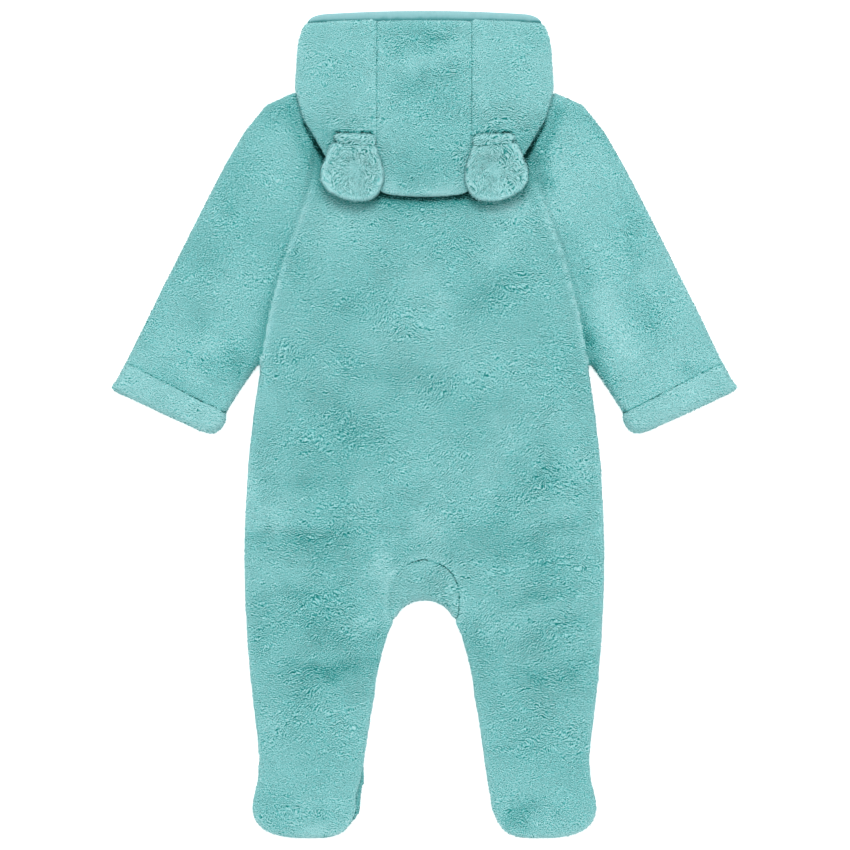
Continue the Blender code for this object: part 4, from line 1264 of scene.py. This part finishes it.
hood = {
    "nodes": ["hood_centre", "hood_side_left", "hood_side_right"],
    "names": ["hoodCentre", "hoodSideLeft", "hoodSideRight"],
    "voxel": 0.0019,
    "smoothing": 2,
    "lipCorner": (90.5, 319.5),  # mm
    "cornerOut": 3.2,  # mm
    "cornerUp": 1.0,  # mm
    "betweenEars": ((212, 187), (44, 54)),  # mm up the suit, and from the middle
    "footDown": 1.8,  # mm, between the ears
    "bowAt": (243, 10),  # mm, the middle and half height of the bowed sides
    "sideOut": 2.0,  # mm, where the sides turn in to the ears
    "lowSide": ((264, 244), (60, 70)),  # mm up the suit, and from the middle
    "paint": (0.07, 0.4, 0.14),
    "foldedVoxel": 0.003,  # the layers underneath
    "foldedPaint": (0.05, 0.4, 0.0),
}


def shapeLip(obj):
    # fills out the corners, which the smoothing would round off, up to the jersey's ends
    places = placesOf(obj.data)
    corner = spotOn(overRight(places), hood["lipCorner"], 7)
    spread(places, hood["cornerOut"] * mm * corner)
    places[:, 1] += hood["cornerUp"] * mm * corner
    setPlaces(obj.data, places)
    return obj


def shapeHood(places):
    # lower between the ears, and fuller at the sides
    reach = np.abs(places[:, 0])
    heights, ends = hood["betweenEars"]
    between = fade(places[:, 1], *heights) * (1 - fade(reach, *ends))
    places[:, 1] -= hood["footDown"] * mm * between * (0.7 + fade(reach, 12, 32))
    spread(places, hood["sideOut"] * mm * hump(places[:, 1], *hood["bowAt"]) * fade(reach, 70, 95))


def hoodLine(places):
    # the hood's seams show less towards its foot
    return 0.8 * fade(places[:, 1], 200, 250)


def brushHood(mesh):
    # paler away from the middle, more on the left to even out the fill light from the right, which is
    # painted light; more ruffled along the lower sides, with painted shade along their rim
    places, rim = placesOf(mesh), numbersOf(mesh, "rimEdge")
    reach = np.abs(places[:, 0])
    heights, ends = hood["lowSide"]
    lowSide = fade(places[:, 1], *heights) * fade(reach, *ends)
    paler = np.where(places[:, 0] > 0, 0.06, 0.11) * fade(reach, 12, 42)
    addToneAndShade(mesh, paler - 0.2 * lowSide * bell(rim / 5))
    setNumbers(mesh, "ruffle", np.maximum(numbersOf(mesh, "ruffle"), 0.9 * lowSide))


parts = [shapeLip(copyNode(node, "part" + node)) for node in hood["nodes"]]
skin = joinedSkin("hoodSkin", parts, hood["voxel"], hood["smoothing"])
distances = nodeDistances(placesOf(skin.data), hood["nodes"])
settleSeams(skin, distances, [(0, 1, 1.0), (0, 2, 1.0)], reach=4.5, rounds=14)
unevenCloth(skin.data, amount=0.5 * mm, size=0.06, seed=6)
places = placesOf(skin.data)
shapeHood(places)
setPlaces(skin.data, places)
pieces = splitSkin(skin, hood["names"], distances, hood["names"])
for piece, node in zip(pieces, hood["nodes"]):
    paintPiece(piece.data, hoodSweepsAndShading, *hood["paint"], hoodLine)
    brushHood(piece.data)
    finishPiece(piece, node, groundPlush)
foldedLayers = shapeLip(copyNode("hood_folded_layers", "hoodFoldedLayers"))
remeshed(foldedLayers, hood["foldedVoxel"], smoothing=3)
paintPiece(foldedLayers.data, [], *hood["foldedPaint"])
finishPiece(foldedLayers, "hood_folded_layers", groundPlush)
print("hood")

# Jersey edge round the face opening

jerseyBand = {
    "halfWidth": 93.8,  # mm
    "top": 331.2,  # mm, at the middle
    "crown": 2.6,  # mm that the top falls towards the ends
    "crownAt": 79.0,  # mm from the middle, where it has fallen that far
    "cornerRound": 15.0,  # mm over which each end rounds down
    "foot": 320.6,
    "lip": 324.9,  # mm, where the fleece meets it at the middle
    "lipCrown": 3.0,
    "lipCrownAt": 92.0,
    "lipShade": 1.8,  # mm over which it gets pale past the fleece
    "middle": 9.0,  # mm above the floor
    "halfDepth": 5.6,
    "sections": 96,
    "sides": 20,
}


def jerseyTop(x):
    flat = jerseyBand["top"] - jerseyBand["crown"] * (abs(x) / jerseyBand["crownAt"]) ** 2
    past = max(0.0, abs(x) - jerseyBand["halfWidth"] + jerseyBand["cornerRound"]) / jerseyBand["cornerRound"]
    return jerseyBand["foot"] + (flat - jerseyBand["foot"]) * math.sqrt(max(0.0, 1 - past**2.4))


def jerseySection(x):
    # the band's rounded cross-section at x
    tall = (jerseyTop(x) - jerseyBand["foot"]) / 2
    deep = jerseyBand["halfDepth"] * min(1.0, 0.35 + tall / 3.0)
    made = []
    for n in range(jerseyBand["sides"]):
        turn = 2 * math.pi * n / jerseyBand["sides"]
        up, out = math.sin(turn), math.cos(turn)
        y = jerseyBand["foot"] + tall + tall * math.copysign(abs(up) ** 0.8, up)
        z = jerseyBand["middle"] + deep * math.copysign(abs(out) ** 0.7, out)
        made.append((x * mm, y * mm, z * mm))
    return made


def makeJerseyBand():
    corners, faces = [], []
    sides = jerseyBand["sides"]
    for k in range(jerseyBand["sections"] + 1):
        corners += jerseySection(-jerseyBand["halfWidth"] * math.cos(math.pi * k / jerseyBand["sections"]))
        if k:
            a, b = (k - 1) * sides, k * sides
            faces += [(a + n, b + n, b + (n + 1) % sides, a + (n + 1) % sides) for n in range(sides)]
    faces += [tuple(range(sides)), tuple(reversed(range(k * sides, (k + 1) * sides)))]
    band = bpy.data.meshes.new("hoodEdge")
    band.from_pydata(corners, [], faces)
    bm = bmesh.new()
    bm.from_mesh(band)
    bmesh.ops.remove_doubles(bm, verts=bm.verts, dist=1e-5)
    bmesh.ops.recalc_face_normals(bm, faces=bm.faces)
    bm.to_mesh(band)
    bm.free()
    return newObject("hoodEdge", band)


def shadeJersey(mesh):
    # painted shade where the band goes in under the fleece
    places = placesOf(mesh)
    fromMiddle = places[:, 0] / mm / jerseyBand["lipCrownAt"]
    lipLine = jerseyBand["lip"] - jerseyBand["lipCrown"] * fromMiddle**2
    pastLip = (places[:, 1] / mm - lipLine) / jerseyBand["lipShade"]
    setNumbers(mesh, "shade", smoothStep(pastLip + 0.2 * waveNoise(places, 0.01, 51)))


def jerseyFinish():
    made, tree, shader, place = startFinish("jersey", 0.8)
    rows = tree.nodes.new("ShaderNodeTexWave")
    rows.bands_direction = "X"
    rows.inputs["Scale"].default_value = 260.0
    rows.inputs["Distortion"].default_value = 1.5
    link(tree, place, rows.inputs["Vector"])
    mottle = centredNoise(tree, place, 300.0, 2.0, 0.5)
    level = mathNode(tree, "MULTIPLY_ADD", rows.outputs["Fac"], 0.14, 0.5)
    level = mathNode(tree, "ADD", level, mottle)
    level = mathNode(tree, "MULTIPLY", level, attributeNode(tree, "shade"), clamp=True)
    stops = [(0.0, linear(84, 156, 158)), (0.35, linear(140, 192, 196)), (1.0, linear(162, 209, 213))]
    link(tree, rampNode(tree, level, stops), shader.inputs["Base Color"])
    shader.inputs["Specular IOR Level"].default_value = 0.15
    return made


jerseyEdge = makeJerseyBand()
shadeJersey(jerseyEdge.data)
finishPiece(jerseyEdge, "hood_edge", jerseyFinish())

# Ears

earShape = {
    "baseEnds": (73.6, 38.0),  # mm from the middle: the base's outer end, and its inner
    "footDown": (2.7, 5.3),  # mm that its lower edge is set lower, at those two ends
    "topDown": (3.1, 2.0),  # and its upper edge
    "foot": (227.0, 228.1),  # mm, where those edges were before that
    "top": (234.3, 232.1),
    "baseMiddle": 44,  # mm
    "baseShorter": 0.04,  # share of its length
    "outerCorner": (71, 219),  # mm
    "cornerOut": 2.0,  # mm
    "topUp": 1.1,  # mm, up against the base
    "tipDown": 2.0,  # mm
    "outerSide": (57, 79),  # mm from the middle, between which the ear gets wider
    "outerOut": 1.4,  # mm
    "innerSide": (55, 35),
    "innerIn": 0.7,  # mm
    "lower": (218, 182),  # mm up the suit, between which it is shaped more and more
    "voxel": 0.0013,
    "wave": 0.3,  # mm
    "middle": (55.0, 203.0),  # mm
    "spread": 13.0,  # mm from the middle at which the pattern keeps its size
    "swirl": 0.08,  # how far the pile turns for each mm out, on the side towards the hood's middle
    "paint": (0.27, 1.1, 0.0),
    "rimRollHighlight": 0.16,
    "baseRuffle": 0.9,
    "seamDark": 1.3,
}


def earLowered(places):
    # how far a place on the ear or its base is set lower than it was cut
    outer, inner = earShape["baseEnds"]
    inward = np.clip((outer - np.abs(places[:, 0]) / mm) / (outer - inner), 0, 1)
    footDown, topDown, foot, top = (
        (1 - inward) * earShape[key][0] + inward * earShape[key][1]
        for key in ("footDown", "topDown", "foot", "top")
    )
    share = np.clip((places[:, 1] / mm - foot) / (top - foot), 0, 1)
    return fade(places[:, 1], 198, 224) * mm * (footDown + (topDown - footDown) * share)


def shapeEar(places):
    # fuller than it was cut: up against the base, lower at the tip, and wider to both sides
    reach = np.abs(places[:, 0])
    low = fade(places[:, 1], *earShape["lower"])
    places[:, 1] += mm * (earShape["topUp"] * fade(places[:, 1], 217, 224) - earShape["tipDown"] * low)
    outer = earShape["outerOut"] * fade(reach, *earShape["outerSide"])
    inner = earShape["innerIn"] * fade(reach, *earShape["innerSide"])
    spread(places, low * mm * (outer - inner))
    places[:, 1] -= earLowered(places)
    spread(places, earShape["cornerOut"] * mm * spotOn(overRight(places), earShape["outerCorner"], 5))


def shapeEarBase(places):
    places[:, 1] -= earLowered(places)
    middle = np.sign(places[:, 0]) * earShape["baseMiddle"] * mm
    places[:, 0] -= earShape["baseShorter"] * (places[:, 0] - middle)


def rollRim(mesh):
    # a rolled rim with a shallow trough inside it
    places, normals = placesOf(mesh), normalsOf(mesh)
    rim = rimDistances(mesh)
    lift = 0.4 * bell((rim - 2.2) / 1.6) - 0.35 * bell((rim - 5.2) / 1.7)
    lift += earShape["wave"] * waveNoise(places, 0.007, 31)
    lift *= mm * smoothStep(normals[:, 2] / 0.6)
    setPlaces(mesh, places + normals * lift[:, None])


def brushEar(mesh, sign):
    # the pile runs out from the ear's middle, and turns as it goes
    places, rim = placesOf(mesh), numbersOf(mesh, "rimEdge")
    # uneven tone, and a little painted shade in the trough inside the rolled rim
    uneven = 0.06 * waveNoise(places, 0.008, 33) * smoothStep((rim - 3) / 4)
    addToneAndShade(mesh, uneven - 0.04 * bell((rim - 5.2) / 1.3))
    off = places[:, :2] - np.array(earShape["middle"]) * [sign, 1] * mm
    out = np.linalg.norm(off, axis=1)
    turn = np.arctan2(off[:, 0], -off[:, 1]) + 0.2 * waveNoise(places, 0.011, 35)
    inner = smoothStep((0.35 - sign * off[:, 0] / np.maximum(out, 1e-4)) / 1.1)
    turn -= sign * earShape["swirl"] * inner * out / mm
    setFlow(mesh, np.stack([out, turn * earShape["spread"] * mm, places[:, 2]], 1))
    calmMiddle = 0.35 + 0.65 * fade(out, 3, 9)
    setNumbers(mesh, "ruffle", numbersOf(mesh, "ruffle") * calmMiddle)


def brushEarBase(mesh):
    setNumbers(mesh, "ruffle", np.full(len(mesh.vertices), earShape["baseRuffle"]))
    setFlow(mesh, placesOf(mesh))


for side, sign in (("left", -1), ("right", 1)):
    nodes = ["ear_" + side, "ear_base_" + side]
    names = ["ear" + side.title(), "earBase" + side.title()]
    parts = [copyNode(node, "part" + node) for node in nodes]
    for part, shape in zip(parts, (shapeEar, shapeEarBase)):
        places = placesOf(part.data)
        shape(places)
        setPlaces(part.data, places)
    skin = joinedSkin("earSkin", parts, earShape["voxel"], smoothing=3)
    lowered = placesOf(skin.data)
    places = lowered.copy()
    for _ in range(14):  # step by step back to where each place was cut
        places[:, 1] = 0.5 * places[:, 1] + 0.5 * (lowered[:, 1] + earLowered(places))
    distances = nodeDistances(places, nodes)
    settleSeams(skin, distances, [(0, 1, 1.0)], reach=4.0, rounds=10)
    rollRim(skin.data)
    ear, base = splitSkin(skin, names, distances, [])
    for piece, node in zip((ear, base), nodes):
        mesh = piece.data
        paintPiece(mesh, [], *earShape["paint"], earShape["seamDark"])
        # painted highlight along the top of the rolled rim
        addToneAndShade(mesh, earShape["rimRollHighlight"] * bell((numbersOf(mesh, "rimEdge") - 1.6) / 1.8))
        if piece is ear:
            brushEar(mesh, sign)
        else:
            brushEarBase(mesh)
        finishPiece(piece, node, groundEar)
print("ears")

# Zip between the fronts, face down: tape, two rows of teeth, slider and its cloth pull

zipper = {
    "from": -71.0,  # mm along Y, where the teeth start
    "to": 244.0,
    "pitch": 1.25,
    "tooth": (2.5, 0.9, 1.7),
    "toothOff": 1.0,  # mm from the middle line to the middle of a tooth
    "toothHeight": 4.8,
    "slider": (7.0, 9.4, 1.1),
    "sliderPlace": (0.0, 239.0, 2.65),
    "sliderTaper": 0.28,  # how much narrower it is at the tail
    "bridge": (2.2, 6.4, 0.5),
    "bridgePlace": (0.0, 239.2, 1.85),
    "tapeWave": 0.12,  # mm
    "pullWave": 0.08,
}


def boxAt(name, size, place, rounding, segments):
    deselectAll()
    bpy.ops.mesh.primitive_cube_add(size=1.0, location=(0, 0, 0))
    obj = bpy.context.active_object
    obj.name = name
    bpy.ops.object.mode_set(mode="EDIT")
    bpy.ops.mesh.select_all(action="SELECT")
    bpy.ops.transform.resize(value=tuple(v * mm for v in size))
    bpy.ops.transform.translate(value=tuple(v * mm for v in place))
    bpy.ops.mesh.bevel(offset=rounding * mm, segments=segments, affect="EDGES")
    bpy.ops.object.mode_set(mode="OBJECT")
    bpy.ops.object.shade_smooth_by_angle(angle=math.radians(40))
    return obj


def colourBetween(tree, shader, level, dark, pale):
    # the finish's colour, from dark to pale as level goes from 0 to 1
    stops = [(0.0, linear(*dark)), (1.0, linear(*pale))]
    link(tree, rampNode(tree, level, stops), shader.inputs["Base Color"])


def makeTeeth():
    # one tooth of each row, repeated at its pitch; the rows stand half a pitch apart
    rows = []
    for side in (-1, 1):
        start = zipper["from"] + (0 if side < 0 else zipper["pitch"] / 2)
        first = (side * zipper["toothOff"], start, zipper["toothHeight"])
        row = boxAt("zipRow", zipper["tooth"], first, 0.25, 1)
        many = row.modifiers.new("many", "ARRAY")
        many.use_relative_offset = False
        many.use_constant_offset = True
        many.constant_offset_displace = (0, zipper["pitch"] * mm, 0)
        many.count = int((zipper["to"] - zipper["from"]) / zipper["pitch"])
        applyModifiers(row)
        rows.append(row)
    return joined("zipTeeth", rows)


def makeSlider():
    # narrower at the tail, with the bridge that holds the pull
    sliderBody = boxAt("sliderBody", zipper["slider"], zipper["sliderPlace"], 0.35, 3)
    places = placesOf(sliderBody.data)
    along = (places[:, 1] / mm - zipper["sliderPlace"][1]) / zipper["slider"][1]
    places[:, 0] *= 1 - zipper["sliderTaper"] * smoothStep(0.5 - along)
    setPlaces(sliderBody.data, places)
    sliderBridge = boxAt("sliderBridge", zipper["bridge"], zipper["bridgePlace"], 0.2, 2)
    return joined("zipSlider", [sliderBody, sliderBridge])


def mottledFinish(name, roughness, scale, amount, dark, pale):
    made, tree, shader, place = startFinish(name, roughness)
    level = mathNode(tree, "ADD", centredNoise(tree, place, scale, 1.0, amount), 0.5, clamp=True)
    colourBetween(tree, shader, level, dark, pale)
    return made, shader


def wovenFinish():
    made, tree, shader, place = startFinish("wovenTape", 0.85)
    ribs = tree.nodes.new("ShaderNodeTexWave")
    ribs.bands_direction = "DIAGONAL"
    ribs.inputs["Scale"].default_value = 420.0
    ribs.inputs["Distortion"].default_value = 0.6
    link(tree, place, ribs.inputs["Vector"])
    ribbed = mathNode(tree, "MULTIPLY_ADD", ribs.outputs["Fac"], 0.5, 0.2)
    level = mathNode(tree, "ADD", ribbed, centredNoise(tree, place, 500.0, 1.0, 0.5), clamp=True)
    colourBetween(tree, shader, level, (82, 154, 157), (124, 192, 194))
    return made


zipTeeth = makeTeeth()
teethFinish, shader = mottledFinish("zipTeeth", 0.45, 900.0, 0.6, (84, 160, 162), (112, 182, 184))
shader.inputs["Specular IOR Level"].default_value = 0.4
zipSlider = makeSlider()
sliderFinish, shader = mottledFinish("zipSlider", 0.4, 700.0, 0.4, (104, 172, 174), (126, 190, 192))
shader.inputs["Metallic"].default_value = 0.35
# a thin strip of tape, and the folded ribbon of the pull
wovenTape = wovenFinish()
zipTape = copyNode("zip_tape", "zipTape")
zipPull = copyNode("zip_pull", "zipPull")
for strip, voxel, wave in ((zipTape, 0.0016, zipper["tapeWave"]), (zipPull, 0.0006, zipper["pullWave"])):
    remeshed(strip, voxel, smoothing=2)
    places = placesOf(strip.data)
    places[:, 2] += wave * mm * waveNoise(places[:, :2], 0.012, 61)
    setPlaces(strip.data, places)
for piece, node, finish, slot in (
    (zipTeeth, "zip_chain", teethFinish, "zip_tape"),
    (zipSlider, "zip_slider", sliderFinish, "zip_metal"),
):
    piece.data.materials.clear()
    piece.data.materials.append(finish)
    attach(piece, "root")
    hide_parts(node)
finishPiece(zipTape, "zip_tape", wovenTape)
finishPiece(zipPull, "zip_pull", wovenTape)
print("zip")

# Painted shadow on the cloth beside and under what lies over it

shades = {
    "underHood": [(0.3, 2.8), (0.45, 9.0)],  # how dark, and how far in mm
    "underEars": [(0.26, 2.4), (0.16, 6.0)],
    "besideEars": [(0.12, 1.6)],
    "shoulder": [(107, 250), (103, 238), (98, 226), (93, 210)],  # mm
    "shoulderDark": (0.2, 0.32),  # left and right
    "shoulderWide": 6,  # mm
    "gap": [(98.5, 249), (97, 244), (93.5, 235), (89.5, 228), (85.5, 221), (80, 214), (72, 204)],
    "gapDark": 0.7,
    "gapWide": 1.6,
    "earTop": [(71, 232.8), (42, 231.6)],
    "earTopDark": 1.0,
    "earTopWide": 1.5,
}
hoodNames = hood["names"]
earNames = ["earLeft", "earRight", "earBaseLeft", "earBaseRight"]
underHood = ["backPanel", "sleeveLeft", "sleeveRight"]


def shadeBeside(names, over, darks, share=None):
    # painted shadow: darker cloth around the outline of the pieces above it
    tree = KDTree(sum(len(cloth[name].data.vertices) for name in over))
    count = 0
    for name in over:
        for x, y, _ in placesOf(cloth[name].data).tolist():
            tree.insert((x, y, 0.0), count)
            count += 1
    tree.balance()
    for name in names:
        mesh = cloth[name].data
        places = placesOf(mesh)
        away = np.array([tree.find((x, y, 0.0))[2] for x, y, _ in places.tolist()]) / mm
        part = 1 if share is None else share(places)
        addToneAndShade(mesh, -sum(amount * bell(away / reach) for amount, reach in darks) * part)


def belowHood(places):
    # the shade beside the hood is faint above the ears
    return 1 - 0.85 * fade(places[:, 1], 215, 235)


def alongPath(places, key):
    # mm from the path, and the share of the way along it
    away, along, _ = distanceToPath(np.abs(places[:, :2]), np.array(shades[key]) * mm)
    return away / mm, along


shadeBeside(underHood, hoodNames, shades["underHood"], belowHood)
shadeBeside(underHood, earNames, shades["underEars"])
# painted shadow on the shoulders beside the hood, and a painted line of shade in the gap between hood and
# shoulder
for name in underHood:
    mesh = cloth[name].data
    places = placesOf(mesh)
    away, _ = alongPath(places, "shoulder")
    dark = np.where(places[:, 0] < 0, *shades["shoulderDark"]) * bell(away / shades["shoulderWide"])
    away, along = alongPath(places, "gap")
    dark += shades["gapDark"] * bell(away / shades["gapWide"]) * smoothStep(along / 0.2)
    addToneAndShade(mesh, -dark * (places[:, 1] > 0))
for name in hoodNames[1:]:
    # painted shade along the top of the ear's base, where it meets the hood
    mesh = cloth[name].data
    places = placesOf(mesh)
    away, _ = alongPath(places, "earTop")
    uneven = 0.7 + 0.6 * waveNoise(places, 0.006, 81)
    addToneAndShade(mesh, -shades["earTopDark"] * bell(away / shades["earTopWide"]) * uneven)
shadeBeside(hoodNames, earNames, shades["besideEars"])
print("shades")

# Pile over all the plush

earStyle = {"length": 1.6, "clump": 2.0, "pull": 0.5, "clumpLean": 0.7, "round": 0.25}
blockers = blockersOf(cloth.values())


def addPile(name, base, style, keep=None, finish=pilePlush):
    pile = growPile(name, cloth[base], {**pileStyle, **style}, blockers, keep)
    pile.data.materials.append(finish)
    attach(pile, "root")
    return pile


piles = {
    "backPanel": [
        addPile("pileTorso", "backPanel", {"seed": 21}, lambda m: m[:, 1] > 0.02),
        addPile("pileLegLeft", "backPanel", {"seed": 22}, lambda m: (m[:, 1] <= 0.02) & (m[:, 0] < 0)),
        addPile("pileLegRight", "backPanel", {"seed": 23}, lambda m: (m[:, 1] <= 0.02) & (m[:, 0] >= 0)),
    ]
}
for number, base in enumerate(cloth):
    if base in ("backPanel", "hoodEdge", "zipTape", "zipPull"):
        continue
    name = "pile" + base[0].upper() + base[1:]
    if base.startswith("ear"):
        pile = addPile(name, base, {**earStyle, "seed": 40 + number}, finish=pileEar)
    else:
        pile = addPile(name, base, {"seed": 40 + number})
    piles[base] = [pile]
print("pile")

# Floor, light and camera

studio = {
    "floor": 6.0,  # metres across
    "floorGlow": 0.6,
    "sky": 0.6,
    "key": 369.0,
    "keyPlace": (-0.19, 3.72, 8.11),
    "keySize": 3.4,
    "fill": 28.0,
    "fillPlace": (0.8, -2.0, 4.3),
    "fillSize": 3.2,
    "lens": 200.0,
    "sensor": 36.0,
    "wide": 0.680,  # metres that the picture shows
    "middle": (0.0005, -0.0004),
    "suitTop": 0.012,  # metres, the height that the width is meant at
}
deselectAll()
bpy.ops.mesh.primitive_plane_add(size=studio["floor"], location=(0, 0, 0))
floor = bpy.context.active_object
floor.name = "floor"
paleFloor, _, shader, _ = startFinish("paleFloor", 0.85)
shader.inputs["Base Color"].default_value = (0.85, 0.85, 0.85, 1.0)
shader.inputs["Specular IOR Level"].default_value = 0.1
shader.inputs["Emission Color"].default_value = (1.0, 1.0, 1.0, 1.0)
shader.inputs["Emission Strength"].default_value = studio["floorGlow"]
floor.data.materials.append(paleFloor)


def areaLight(name, place, size, power):
    lamp = bpy.data.lights.new(name, "AREA")
    lamp.shape = "DISK"
    lamp.size = size
    lamp.energy = power
    obj = newObject(name, lamp)
    obj.location = place
    obj.rotation_euler = (-Vector(place)).to_track_quat("-Z", "Y").to_euler()


areaLight("keyLight", studio["keyPlace"], studio["keySize"], studio["key"])
areaLight("fillLight", studio["fillPlace"], studio["fillSize"], studio["fill"])
world = bpy.data.worlds.new("studio")
world.use_nodes = True
background = world.node_tree.nodes["Background"]
background.inputs["Color"].default_value = (1.0, 1.0, 1.0, 1.0)
background.inputs["Strength"].default_value = studio["sky"]
bpy.context.scene.world = world

camera = bpy.data.cameras.new("camera")
camera.lens = studio["lens"]
camera.sensor_width = studio["sensor"]
camera.clip_end = 50.0
cameraObject = newObject("camera", camera)
height = studio["suitTop"] + studio["wide"] * studio["lens"] / studio["sensor"]
cameraObject.location = (*studio["middle"], height)
bpy.context.scene.camera = cameraObject
bpy.context.scene.view_settings.view_transform = "Standard"
